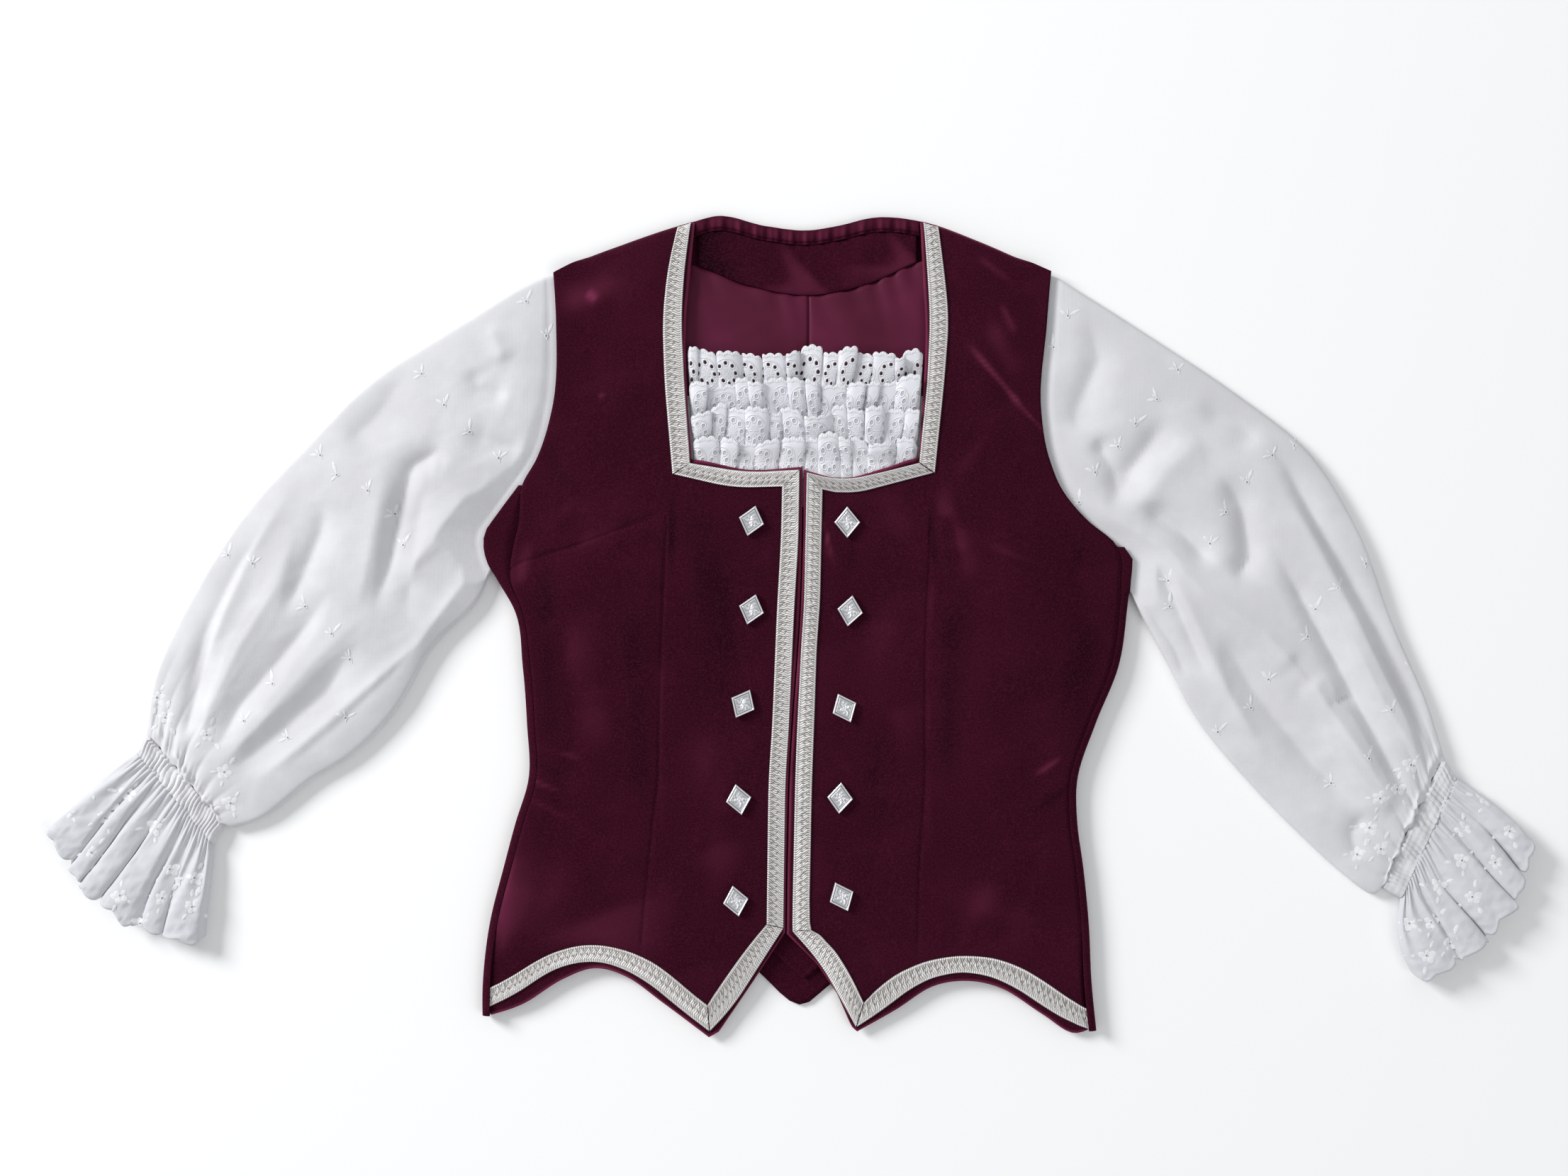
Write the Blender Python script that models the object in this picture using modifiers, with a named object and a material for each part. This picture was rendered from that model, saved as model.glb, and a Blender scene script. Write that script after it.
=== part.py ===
"""Velvet dance waistcoat with blouse sleeves and a lace front, laid flat on a surface.

Sizes are in millimetres and are turned into metres where a mesh is made. X runs to the right across the
garment as it is seen from above, Y from the hem to the neck, and Z up from the surface that it lies on.
Every cloth piece is a sheet of points worked out from the tables below, with its wall put on by Solidify.
"""

import math

import bmesh
import bpy
import numpy as np
from mathutils import Matrix, Vector
from mathutils.bvhtree import BVHTree

MM = 0.001

# Thickness of each cloth, and the gaps between pieces
VELVET = 2.0
SATIN = 1.0
COTTON = 1.0
BRAID = 1.0
SEAM_GAP = 0.4
SIDE_SEAM_GAP = 0.9
LAID_GAP = 0.45

# Heights above the surface, and the sizes of the rolled edges
FRONT_TOP = 10.0
SIDE_ROLL = 5.0
ARMHOLE_EDGE_Z = 9.2
LINING_TOP = 3.3
BACKING_TOP = 4.6
SHOULDER_EDGE_Z = 5.2
SHOULDER_ROLL = 9.0
HEM_DROP = 4.0
HEM_DROP_FROM = -205.0
HEM_DROP_RUN = 80.0

# Lines down each front, as X at a height Y: the centre edge, the neck edge and the line below its corner,
# the waist dart, and the edge at the side seam and armhole
LINE_COLUMNS = [("y", float), ("centre", float), ("neck", float), ("dart", float), ("side", float)]
LEFT_FRONT = np.array([
    (-290, -3.5, -56, -108, -210), (-250, -3.5, -58, -106, -210), (-208, -3.2, -60, -103, -205),
    (-168, -2.7, -62, -99, -195), (-138, -2.0, -63, -96, -187), (-108, -1.2, -64, -92.5, -178),
    (-68, 1.0, -65, -91.5, -179), (-28, 4.0, -66, -90.5, -182), (12, 6.7, -67, -89, -188),
    (33, 7.5, -67.5, -88, -196), (56, 8.1, -68, -87, -194), (74, 8.5, -68.5, -86.5, -190),
    (84, 8.6, -69, -87, -189.5), (99, 8.7, -69, -87, -187.8), (117, 8.9, -69, -89, -178),
    (152, 9, -71.5, -94, -167), (212, 9, -73, -102, -164), (248, 9, -70, -104, -166),
    (290, 9, -66, -104, -170)], dtype=LINE_COLUMNS)
RIGHT_FRONT = np.array([
    (-290, -2.7, 47, 88, 210), (-250, -2.7, 49, 89, 206), (-208, -2.4, 52, 90, 204),
    (-168, -1.9, 57, 91, 200), (-138, -1.2, 60, 93, 196), (-108, -0.4, 64, 95, 196),
    (-68, 1.8, 68, 95, 209), (-28, 4.8, 72, 95, 225), (12, 7.5, 77, 96, 231),
    (33, 8.3, 80, 97, 232), (52, 8.9, 82, 98, 231), (58, 9.1, 82.5, 98, 228),
    (74, 9.3, 84, 99, 209), (94, 9.5, 87, 101, 192), (117, 9.7, 90, 105, 182), (152, 9.8, 92.5, 114, 176),
    (212, 9.8, 95, 122, 180), (248, 9.8, 93, 124, 183), (290, 9.8, 91, 124, 188)], dtype=LINE_COLUMNS)

# The garment's side, as seen from above, and the armhole line that the sleeve is sewn to, which lies further
# in where the front bulges over it
EDGE_COLUMNS = [("y", float), ("edge", float), ("armhole", float)]
LEFT_SIDE = np.array([
    (-290, -216, -216), (-250, -216, -216), (-208, -211, -211), (-168, -201, -201), (-138, -193, -193),
    (-108, -184, -184), (-68, -185, -185), (-28, -188, -188), (12, -194, -200), (33, -206, -210),
    (44, -212, -209), (56, -215, -206.5), (66, -214, -203.5), (78, -206, -199), (99, -190.5, -189.5),
    (117, -178, -178), (152, -167, -167), (212, -164, -164), (248, -166, -166), (290, -170, -170)],
    dtype=EDGE_COLUMNS)
RIGHT_SIDE = np.array([
    (-290, 216, 216), (-250, 212, 212), (-208, 210, 210), (-168, 206, 206), (-138, 202, 202),
    (-108, 202, 202), (-68, 215, 215), (-28, 231, 231), (12, 237, 240), (33, 239, 234), (52, 238, 224),
    (58, 232, 220.5), (74, 209, 207.5), (94, 192, 192), (117, 182, 182), (152, 176, 176), (212, 180, 180),
    (248, 183, 183), (290, 188, 188)], dtype=EDGE_COLUMNS)

# Outlines across the garment, as Y at a place X
OUTLINE_COLUMNS = [("x", float), ("y", float)]
LEFT_SCALLOP = np.array([(-216, -275), (-187, -265), (-160, -248), (-137, -240), (-115, -246), (-90, -264),
                         (-57, -289)], dtype=OUTLINE_COLUMNS)
LEFT_POINT = np.array([(-57, -289), (-50, -285), (-27, -251), (-3, -214)], dtype=OUTLINE_COLUMNS)
RIGHT_POINT = np.array([(-2, -216), (19, -237), (33, -258), (43, -281), (47, -285)], dtype=OUTLINE_COLUMNS)
RIGHT_SCALLOP = np.array([(47, -285), (75, -269), (100, -253), (123, -249), (148, -254), (178, -273),
                          (200, -286), (216, -281)], dtype=OUTLINE_COLUMNS)
LEFT_NECK = np.array([(-73, 117), (-69, 117), (-29, 110), (9, 112)], dtype=OUTLINE_COLUMNS)
RIGHT_NECK = np.array([(9, 110), (36, 104), (66, 111), (90, 118), (94, 118)], dtype=OUTLINE_COLUMNS)
TOP_EDGE = np.array([(-170, 246), (-157, 253), (-117, 269), (-68, 285), (-52, 289), (-17, 282), (13, 279),
                     (33, 282), (60, 288), (93, 285), (133, 271), (163, 258), (188, 247)],
                    dtype=OUTLINE_COLUMNS)
BACK_HEM = np.array([(-216, -271), (-187, -260), (-160, -244), (-137, -236), (-110, -232), (-60, -226),
                     (-27, -240), (11, -266), (26, -254), (60, -232), (100, -240), (123, -245), (148, -250),
                     (178, -268), (200, -280), (216, -277)], dtype=OUTLINE_COLUMNS)
FACING_EDGE = np.array([(-84, 258), (-70, 255), (-30, 240), (13, 233), (55, 241), (92, 257), (106, 261)],
                       dtype=OUTLINE_COLUMNS)

# Rows and columns of the fronts' sheets. A column is 0 at the centre, 1 at the neck line, 2 at the waist
# dart and 3 at the side
FRONT_ROWS = (-258, -240, -215, -185, -155, -125, -95, -62, -28, 5, 32, 50, 60, 62, 70, 80, 92, 103, 117,
              142, 170, 200, 228, 246, 256, 262)
FRONT_COLUMNS = (0, 0.22, 0.44, 0.66, 0.85, 1, 1.5, 1.82, 2, 2.05, 2.22, 2.4, 2.58, 2.76, 2.9, 3)
NECK_ROW = 117
NECK_COLUMN = 1
HEM_FADE = -120
NECK_FADE = 60
SHOULDER_FADE = 150
DART_DEPTH = 1.3
DART_HALF_WIDTH = 2.4
DART_TOP = 78
DART_FOOT = -232
BUST_HEIGHT = 6.0
BUST_RADIUS = 52.0
BUSTS = {"left": (-132, 40), "right": (150, 36)}
# The bust dart tilts the rows beside it: height above the row at the waist dart and at the side
BUST_DART_ROW = 60
BUST_DART_RISE = {"left": (14, -18), "right": (2, -38)}
BUST_DART_REACH = 55.0
# Bust and folds leave a level edge for the trim and the seams, and grow over the run after it
SIDE_LEVEL, SIDE_RUN = 9.0, 18.0
HEM_LEVEL, HEM_RUN = 24.0, 20.0
ARMHOLE_LEVEL, ARMHOLE_RUN = 12.0, 16.0

# The back: columns on the surface, the front's rows where the sides open for the sleeves, and where the part
# turned onto the front ends
BACK_COLUMNS = 11
UNDERARM_ROW = {"left": 50, "right": 60}
WRAP_TOP_ROW = {"left": 103, "right": 80}
SIDE_REACH = 0.33

# Soft folds, from one end to the other: half width and height, which is below 0 for a trough
FOLD_COLUMNS = [("x1", float), ("y1", float), ("x2", float), ("y2", float), ("width", float),
                ("height", float)]
VELVET_FOLDS = np.array([
    (-100, 70, -104, -60, 13, 1.5), (-176, 60, -160, -20, 14, -1.6), (-152, -90, -188, -150, 16, -1.8),
    (-160, -200, -130, -150, 18, 1.6), (-120, 190, -140, 120, 18, 1.8), (-46, 60, -40, -120, 16, -1.0),
    (108, 60, 112, -40, 14, 1.6), (190, 60, 214, 0, 16, -1.8), (186, -96, 150, -130, 16, -1.8),
    (146, -200, 170, -150, 18, 1.6), (130, 210, 150, 130, 18, 1.8), (70, -90, 66, -200, 14, -1.0)],
    dtype=FOLD_COLUMNS)
LEFT_SLEEVE_FOLDS = np.array([
    (-312, 136, -276, 176, 17, -5.0), (-246, 118, -272, 78, 15, -5.0), (-272, 78, -288, 10, 14, -4.5),
    (-292, 118, -296, 46, 16, 3.5), (-336, 90, -330, 44, 13, -4.0), (-362, 36, -404, -14, 14, -3.5),
    (-404, -14, -420, -66, 11, -3.5), (-382, 26, -414, -58, 12, 2.5), (-290, -22, -340, -58, 13, -3.5),
    (-340, -58, -384, -96, 11, -3.5), (-212, 74, -266, 46, 10, 3.5), (-226, 50, -262, 24, 10, -3.5),
    (-272, -24, -352, -116, 10, 3.0), (-232, 200, -214, 150, 14, -3.0)], dtype=FOLD_COLUMNS)
RIGHT_SLEEVE_FOLDS = np.array([
    (272, 156, 232, 128, 16, -4.5), (310, 116, 316, 60, 16, -4.5), (316, 60, 290, 46, 14, -4.0),
    (276, 130, 296, 84, 16, 3.5), (352, 106, 386, 42, 14, -4.5), (386, 42, 432, -50, 13, -4.0),
    (344, 6, 384, -34, 14, -4.0), (384, -34, 432, -104, 11, -4.0), (298, 4, 352, -62, 14, 3.5),
    (284, 20, 330, -34, 12, -3.5), (252, 66, 284, 22, 10, 3.5), (284, -4, 310, -76, 13, 3.0),
    (352, -62, 398, -128, 12, -3.0), (208, 216, 196, 160, 14, -3.0)], dtype=FOLD_COLUMNS)

# Sleeves, from the tucked end to the wrist: the edge on the shoulder side and the edge on the body side,
# how far the section follows the armhole, how far it is tucked inside it, and the height of the cloth
SLEEVE_COLUMNS = [("outer_x", float), ("outer_y", float), ("inner_x", float), ("inner_y", float),
                  ("follow", float), ("tuck", float), ("height", float)]
LEFT_SLEEVE = np.array([
    (-158, 241, -204, 46, 1.0, 7.5, 6.6), (-166, 247, -211, 39, 1.0, 0, 6.8),
    (-190, 238, -223, 14, 0.4, 0, 11.0), (-232, 212, -252, -16, 0.1, 0, 14.0),
    (-292, 174, -277, -59, 0, 0, 15.0), (-337, 130, -307, -90, 0, 0, 15.0),
    (-382, 81, -337, -109, 0, 0, 14.0), (-420, 22, -367, -133, 0, 0, 13.0),
    (-445, -31, -388, -141, 0, 0, 11.0), (-453, -76, -398, -141, 0, 0, 8.5)], dtype=SLEEVE_COLUMNS)
RIGHT_SLEEVE = np.array([
    (175, 241, 231, 36, 1.0, 7.5, 6.6), (183, 247, 239, 29, 1.0, 0, 6.8),
    (206, 234, 251, 3, 0.4, 0, 11.0),
    (253, 204, 266, -27, 0.1, 0, 14.0), (313, 164, 288, -68, 0, 0, 15.0), (365, 122, 322, -109, 0, 0, 15.0),
    (400, 66, 355, -143, 0, 0, 14.0), (423, 4, 385, -171, 0, 0, 13.0), (447, -51, 408, -188, 0, 0, 11.0),
    (460, -93, 416, -184, 0, 0, 8.5)], dtype=SLEEVE_COLUMNS)
LEFT_CUFF = ((-453.2, -76.6), (-398.3, -141.6), (-459, -88), (-405, -153))
RIGHT_CUFF = ((460.3, -93.5), (416.5, -184.4), (468, -106), (429, -191))
LEFT_FRILL = np.array([
    (-459.3, -88.5, -405.4, -153.5, 0, 0, 8.0), (-477, -102, -407, -176, 0, 0, 9.5),
    (-497, -120, -410, -198, 0, 0, 11.0), (-518, -138, -413, -220, 0, 0, 11.5)], dtype=SLEEVE_COLUMNS)
RIGHT_FRILL = np.array([
    (468.4, -106.4, 429.4, -191.4, 0, 0, 8.0), (486, -118, 427, -211, 0, 0, 9.5),
    (502, -131, 431, -230, 0, 0, 11.0), (518, -148, 440, -246, 0, 0, 11.5)], dtype=SLEEVE_COLUMNS)
SLEEVE_RINGS = 20
SLEEVE_TOP_POINTS = 20
SLEEVE_GATHERS = 6
CUFF_GATHERS = 8
FRILL_WAVES = 8
FRILL_BOW = 22.0
POINTS_PER_WAVE = 4
WRIST_HEIGHT = 8.0
EDGE_HEIGHT = 7.0
TUBE_ROLL = 3.4
BACK_TUCK = 13.0
# The sleeve's cloth stays low where the front bulges over it, and rises away from the front's edge
UNDERARM_Y = {"left": 30, "right": 14}
UNDER_FLAP = 6.6
FLAP_CLEARANCE = 5.5
FLAP_SLOPE = 0.32

# Lace tiers, from the top one down: the Y of the gathered edge, and the height of the strip
TIER_FEET = (160, 139, 119, 104)
TIER_HEIGHTS = (31, 31, 31, 26)
TIER_WAVES = 12
TIER_COLUMNS = [("up", float), ("rise", float), ("wave", float)]
TIER_RISE = np.array([(0, 0.0, 0.3), (12, 1.0, 0.5), (21, 3.9, 1.4), (32, 5.6, 2.2)], dtype=TIER_COLUMNS)
TIER_SIDE_GAP = 1.5

# Inside the neck and behind the lace: plain pieces between a low and a high edge
NECK_BAND = 11.0
LINING_FOOT = 92.0
LINING_SEAM = 13.0
LINING_SIDES = (-80, 104)
BACKING_FOOT = 84.0
BACKING_SIDES = (-78, 100)
NECK_SIDES = (-64.5, 89)
PUCKERS = 12
PUCKER_HEIGHT = 0.6
TAB_HEM = np.array([(-36, -209), (10, -248), (42, -222)], dtype=OUTLINE_COLUMNS)
TAB_TOP = -190.0
TAB_WALL = 1.5
FACING_LIFT, BAND_LIFT, TAB_LIFT = 1.0, 1.6, 0.5

# Braid runs: the two edges of each strip, as corners from the neck down or from the centre out
BRAID_STEP = 12.0
BRAID_PATHS = {
    "left": {
        "neck_side": (((-79, 280), (-86, 250), (-89.5, 215), (-88, 170), (-82.5, 107)),
                      ((-69.5, 283), (-74, 250), (-76, 215), (-74, 170), (-70, 115))),
        "neck_foot": (((-81, 106.5), (-40, 97), (-5.5, 98)), ((-69.5, 114.5), (-30, 108), (6.6, 110))),
        "centre": (((-5.7, 97.2), (-6.5, 60), (-9.3, 12), (-12.5, -68), (-15.2, -108), (-16.5, -208)),
                   ((6.8, 109.2), (6, 60), (3, 12), (-0.5, -68), (-3.1, -108), (-4.6, -211))),
        "slant": (((-16.8, -209), (-31, -226), (-52, -256), (-57.5, -265)),
                  ((-5, -212), (-19, -234), (-40, -267), (-56, -284))),
        "scallop": (((-58.3, -265.5), (-72, -255), (-87, -241), (-105, -230), (-125, -224), (-140, -222),
                     (-157, -225), (-175, -232), (-197, -247), (-208.5, -252)),
                    ((-57.2, -284), (-78, -268), (-100, -249), (-125, -236), (-139, -234), (-157, -237),
                     (-170, -242), (-190, -257), (-208.5, -266))),
    },
    "right": {
        "neck_side": (((104, 280), (108, 250), (111.5, 215), (108, 170), (101.5, 108)),
                      ((93.5, 283), (96, 250), (98, 215), (96, 170), (90.5, 115.5))),
        "neck_foot": (((100, 107.5), (60, 97), (41, 92), (22.5, 96)),
                      ((90, 114.5), (60, 107), (36, 102), (11.7, 108))),
        "centre": (((22.8, 95.2), (21, 12), (19, -8), (17, -68), (15.5, -108), (13.5, -205), (15, -212)),
                   ((11.6, 107.2), (9.7, 12), (8, -8), (5, -68), (3.5, -108), (1.5, -205), (1.7, -213))),
        "slant": (((15.2, -212.8), (25, -218), (40, -239), (51.5, -263.5)),
                  ((1.9, -213.8), (20.5, -235), (32, -255), (46, -281))),
        "scallop": (((52.3, -263.5), (67, -248), (85, -238), (103, -232), (130, -230), (155, -235),
                     (178, -248), (198, -263), (206, -267)),
                    ((47.2, -281), (67, -268), (88, -251), (109, -243), (130, -242), (155, -251),
                     (178, -267), (196, -278), (206, -281))),
    },
}

# Lozenge buttons: place and turn in degrees, and the button's own sizes
BUTTON_COLUMNS = [("x", float), ("y", float), ("turn", float)]
LEFT_BUTTONS = np.array([(-27, 74, -15), (-27, 12, -16), (-33, -54, -27), (-36, -121, 11), (-38, -192, 11)],
                        dtype=BUTTON_COLUMNS)
RIGHT_BUTTONS = np.array([(40, 73, 0), (42, 11, -9), (38, -57, 24), (35, -120, -4), (36, -189, 24)],
                         dtype=BUTTON_COLUMNS)
BUTTON_WIDTH = 18.5
BUTTON_LENGTH = 22.5
BUTTON_THICKNESS = 3.2
BUTTON_RIM = 2.2
BUTTON_DISH = 0.9

COLOURS = {
    "velvet": ((0.105, 0.008, 0.024, 1), 0.85, 0.0),
    "satin": ((0.13, 0.015, 0.035, 1), 0.4, 0.0),
    "cotton": ((0.86, 0.86, 0.87, 1), 0.9, 0.0),
    "lace": ((0.9, 0.9, 0.91, 1), 0.9, 0.0),
    "braid": ((0.55, 0.54, 0.5, 1), 0.45, 0.6),
    "button": ((0.8, 0.8, 0.82, 1), 0.22, 1.0),
}


def curve(at, knots, values):
    """Smooth curve through the knots: cubic pieces whose slope at a knot is that of its two neighbours."""
    knots, values = np.asarray(knots, float), np.asarray(values, float)
    slopes = np.gradient(values, knots)
    at = np.asarray(at, float)
    i = np.clip(np.searchsorted(knots, at) - 1, 0, len(knots) - 2)
    span = knots[i + 1] - knots[i]
    s = np.clip((at - knots[i]) / span, 0, 1)
    start = (2 * s**3 - 3 * s**2 + 1) * values[i] + (s**3 - 2 * s**2 + s) * span * slopes[i]
    end = (3 * s**2 - 2 * s**3) * values[i + 1] + (s**3 - s**2) * span * slopes[i + 1]
    return start + end


def outline(table, x):
    return curve(x, table["x"], table["y"])


def ease(s):
    """Smooth step from 0 to 1."""
    s = np.clip(s, 0, 1)
    return s * s * (3 - 2 * s)


def folds(table, x, y):
    """Sum of soft folds: a bell across each line, faded towards both of its ends."""
    total = np.zeros(np.broadcast(x, y).shape)
    for row in table:
        run = np.array((row["x2"] - row["x1"], row["y2"] - row["y1"]))
        length = math.hypot(*run)
        along = ((x - row["x1"]) * run[0] + (y - row["y1"]) * run[1]) / length**2
        beside = ((x - row["x1"]) * run[1] - (y - row["y1"]) * run[0]) / length
        ends = ease((along + 0.25) / 0.5) * ease((1.25 - along) / 0.5)
        total += row["height"] * ends * np.exp(-(beside / row["width"])**2)
    return total


def make_look(name):
    colour, roughness, metallic = COLOURS[name]
    look = bpy.data.materials.new(name)
    look.use_nodes = True
    shader = look.node_tree.nodes["Principled BSDF"]
    shader.inputs["Base Color"].default_value = colour
    shader.inputs["Roughness"].default_value = roughness
    shader.inputs["Metallic"].default_value = metallic
    look.diffuse_color = colour
    return look


def place(name, mesh, look):
    mesh.shade_smooth()
    mesh.materials.append(LOOKS[look])
    piece = bpy.data.objects.new(name, mesh)
    GARMENT.objects.link(piece)
    return piece


def sheet(name, points, wall, look, keep=None, closed=False, flip=False):
    """Lofts a sheet through rows of points in millimetres. Solidify puts its wall behind the side it faces.

    The sheet faces along column x row direction, or the other way with flip. keep masks quads, one for each
    row and column of the grid but the last.
    """
    rows, cols = points.shape[:2]
    mesh = bpy.data.meshes.new(name)
    shell = bmesh.new()
    corners = [shell.verts.new(Vector(p) * MM) for p in points.reshape(-1, 3).tolist()]
    for r in range(rows - 1):
        for c in range(cols if closed else cols - 1):
            if keep is not None and not keep[r, c]:
                continue
            near, far = r * cols + c, r * cols + (c + 1) % cols
            quad = [corners[i] for i in (near, far, far + cols, near + cols)]
            shell.faces.new(quad[::-1] if flip else quad)
    bmesh.ops.delete(shell, geom=[v for v in shell.verts if not v.link_faces], context="VERTS")
    shell.to_mesh(mesh)
    shell.free()
    piece = place(name, mesh, look)
    thicken = piece.modifiers.new("Wall", "SOLIDIFY")
    thicken.thickness = wall * MM
    thicken.offset = -1
    return piece


def hem(side, x):
    """Y of a front's lower edge: a scallop at the side and a slant from the point up to the centre."""
    if side == "left":
        point = np.interp(x, LEFT_POINT["x"], LEFT_POINT["y"])
        return np.where(x < LEFT_POINT["x"][0], outline(LEFT_SCALLOP, x), point)
    point = np.interp(x, RIGHT_POINT["x"], RIGHT_POINT["y"])
    return np.where(x > RIGHT_POINT["x"][-1], outline(RIGHT_SCALLOP, x), point)


def line_x(side, name, y):
    table = LEFT_FRONT if side == "left" else RIGHT_FRONT
    return curve(y, table["y"], table[name])


def across(side, column, y):
    """X of a column at the height Y, between the four lines of the front."""
    lines = np.stack([line_x(side, name, y) for name in ("centre", "neck", "dart", "side")])
    i = np.clip(column.astype(int), 0, 2)
    part = column - i
    left = np.take_along_axis(lines, i[None], 0)[0]
    right = np.take_along_axis(lines, i[None] + 1, 0)[0]
    return left * (1 - part) + right * part


def front_plan(side):
    """X and Y of a front's grid: level rows, moved to the hem, bust dart, neck and shoulder lines."""
    column, row = np.meshgrid(np.array(FRONT_COLUMNS, float), np.array(FRONT_ROWS, float))
    neck = LEFT_NECK if side == "left" else RIGHT_NECK
    near, far = BUST_DART_RISE[side]
    tilt = np.where(column > 2, near + (far - near) * (column - 2), 0)
    tilt = tilt * np.clip(1 - np.abs(row - BUST_DART_ROW) / BUST_DART_REACH, 0, 1)
    x = across(side, column, row)
    for _ in range(4):
        at_hem = np.clip((HEM_FADE - row) / (HEM_FADE - FRONT_ROWS[0]), 0, 1)
        at_neck = np.clip((row - NECK_FADE) / (NECK_ROW - NECK_FADE), 0, 1) * (column <= NECK_COLUMN)
        at_neck = at_neck * (row <= NECK_ROW)
        at_top = np.clip((row - SHOULDER_FADE) / (FRONT_ROWS[-1] - SHOULDER_FADE), 0, 1)
        y = row + tilt + at_hem * (hem(side, x) - FRONT_ROWS[0])
        y = y + at_neck * (outline(neck, x) - NECK_ROW) + at_top * (outline(TOP_EDGE, x) - FRONT_ROWS[-1])
        x = across(side, column, y)
    return x, y


def front_height(side, x, y):
    """Height of a front's outer face: a level sheet with a bust, soft folds and a waist dart, let down
    towards the points of the hem and rolled down to the back at the shoulder."""
    bust_x, bust_y = BUSTS[side]
    bust = BUST_HEIGHT * np.exp(-((x - bust_x)**2 + (y - bust_y)**2) / BUST_RADIUS**2)
    from_side = np.abs(x - line_x(side, "side", y))
    inside = ease((from_side - SIDE_LEVEL) / SIDE_RUN) * ease((y - hem(side, x) - HEM_LEVEL) / HEM_RUN)
    z = FRONT_TOP + inside * (bust + folds(VELVET_FOLDS, x, y))
    from_dart = x - line_x(side, "dart", y)
    dart = np.exp(-(from_dart / DART_HALF_WIDTH)**2) * ease((DART_TOP - y) / 12) * ease((y - DART_FOOT) / 12)
    z = z - DART_DEPTH * dart
    z = z - HEM_DROP * np.clip((HEM_DROP_FROM - y) / HEM_DROP_RUN, 0, 1)
    from_top = np.clip((outline(TOP_EDGE, x) - y) / SHOULDER_ROLL, 0, 1)
    over_sleeve = ease(1 - (from_side - ARMHOLE_LEVEL) / ARMHOLE_RUN)
    drop_at_top = (z - SHOULDER_EDGE_Z) * (1 - over_sleeve)
    return z - drop_at_top * (1 - np.sqrt(1 - (1 - from_top)**2))


def make_front(side):
    x, y = front_plan(side)
    points = np.stack([x, y, front_height(side, x, y)], axis=-1)
    rows, cols = x.shape
    neck_row, neck_column = FRONT_ROWS.index(NECK_ROW), FRONT_COLUMNS.index(NECK_COLUMN)
    keep = np.ones((rows - 1, cols - 1), bool)
    keep[neck_row:, :neck_column] = False
    return sheet(f"front_{side}", points, VELVET, "velvet", keep, flip=side == "left")


def side_profile(side, y, seam, opened):
    """Points round one side of the back at the heights Y, from its seam on the front to the underside.

    Where the side is opened for the sleeve, the upper points keep a low rolled edge and the last point lies
    further in, clear of the sleeve's end.
    """
    table = LEFT_SIDE if side == "left" else RIGHT_SIDE
    edge = curve(y, table["y"], table["edge"])
    inward = 1 if side == "left" else -1
    wrap = np.maximum(inward * (seam - edge) - SIDE_SEAM_GAP, 1.2)
    roll = np.minimum(SIDE_ROLL, wrap * 0.8)
    corner = 1 - math.sqrt(0.5)
    inner = np.maximum(inward * (curve(y, table["y"], table["armhole"]) - edge), 0) + BACK_TUCK
    x = [wrap, roll, corner * roll, 0 * y, np.where(opened, 4, corner * SIDE_ROLL),
         np.where(opened, inner, SIDE_ROLL)]
    z = [FRONT_TOP + 0 * y, FRONT_TOP + 0 * y, FRONT_TOP - np.where(opened, 0.3, corner * SIDE_ROLL),
         np.where(opened, ARMHOLE_EDGE_Z, SIDE_ROLL), np.where(opened, 0, corner * SIDE_ROLL), 0 * y]
    return edge + inward * np.stack(x), np.stack(z)


def make_back():
    """The back: flat on the surface, turned round a roll at each side onto the front as far as its seam."""
    level = np.array(FRONT_ROWS, float)
    sides = {}
    for side in ("left", "right"):
        plan_x, plan_y = front_plan(side)
        opened = level > UNDERARM_ROW[side]
        sides[side] = (plan_y[:, -1], *side_profile(side, plan_y[:, -1], plan_x[:, -1], opened))
    left_y, left_x, left_z = sides["left"]
    right_y, right_x, right_z = sides["right"]
    part = np.linspace(0, 1, BACK_COLUMNS + 1)[1:-1, None]
    middle_x = left_x[-1] * (1 - part) + right_x[-1] * part
    at_hem = np.clip((HEM_FADE - level) / (HEM_FADE - level[0]), 0, 1)
    at_top = np.clip((level - SHOULDER_FADE) / (level[-1] - SHOULDER_FADE), 0, 1)

    def shifted(x):
        down, up = outline(BACK_HEM, x) - level[0], outline(TOP_EDGE, x) - 1 - level[-1]
        return level + at_hem * down + at_top * up

    left_share = np.clip(1 - part / SIDE_REACH, 0, 1)
    right_share = np.clip(1 - (1 - part) / SIDE_REACH, 0, 1)
    middle_y = shifted(middle_x) + left_share * (left_y - shifted(left_x[-1]))
    middle_y = middle_y + right_share * (right_y - shifted(right_x[-1]))

    ends = len(left_x)
    x = np.vstack([left_x, middle_x, right_x[::-1]]).T
    y = np.vstack([np.tile(left_y, (ends, 1)), middle_y, np.tile(right_y, (ends, 1))]).T
    z = np.vstack([left_z, 0 * middle_x, right_z[::-1]]).T
    cols = x.shape[1]
    keep = np.ones((len(level) - 1, cols - 1), bool)
    for side, opened, turned in (("left", slice(3, 5), slice(0, 5)),
                                 ("right", slice(cols - 6, cols - 4), slice(cols - 6, cols - 1))):
        keep[FRONT_ROWS.index(UNDERARM_ROW[side]):, opened] = False
        keep[FRONT_ROWS.index(WRAP_TOP_ROW[side]):, turned] = False
    return sheet("back", np.stack([x, y, z], axis=-1), VELVET, "velvet", keep, flip=True)


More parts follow.
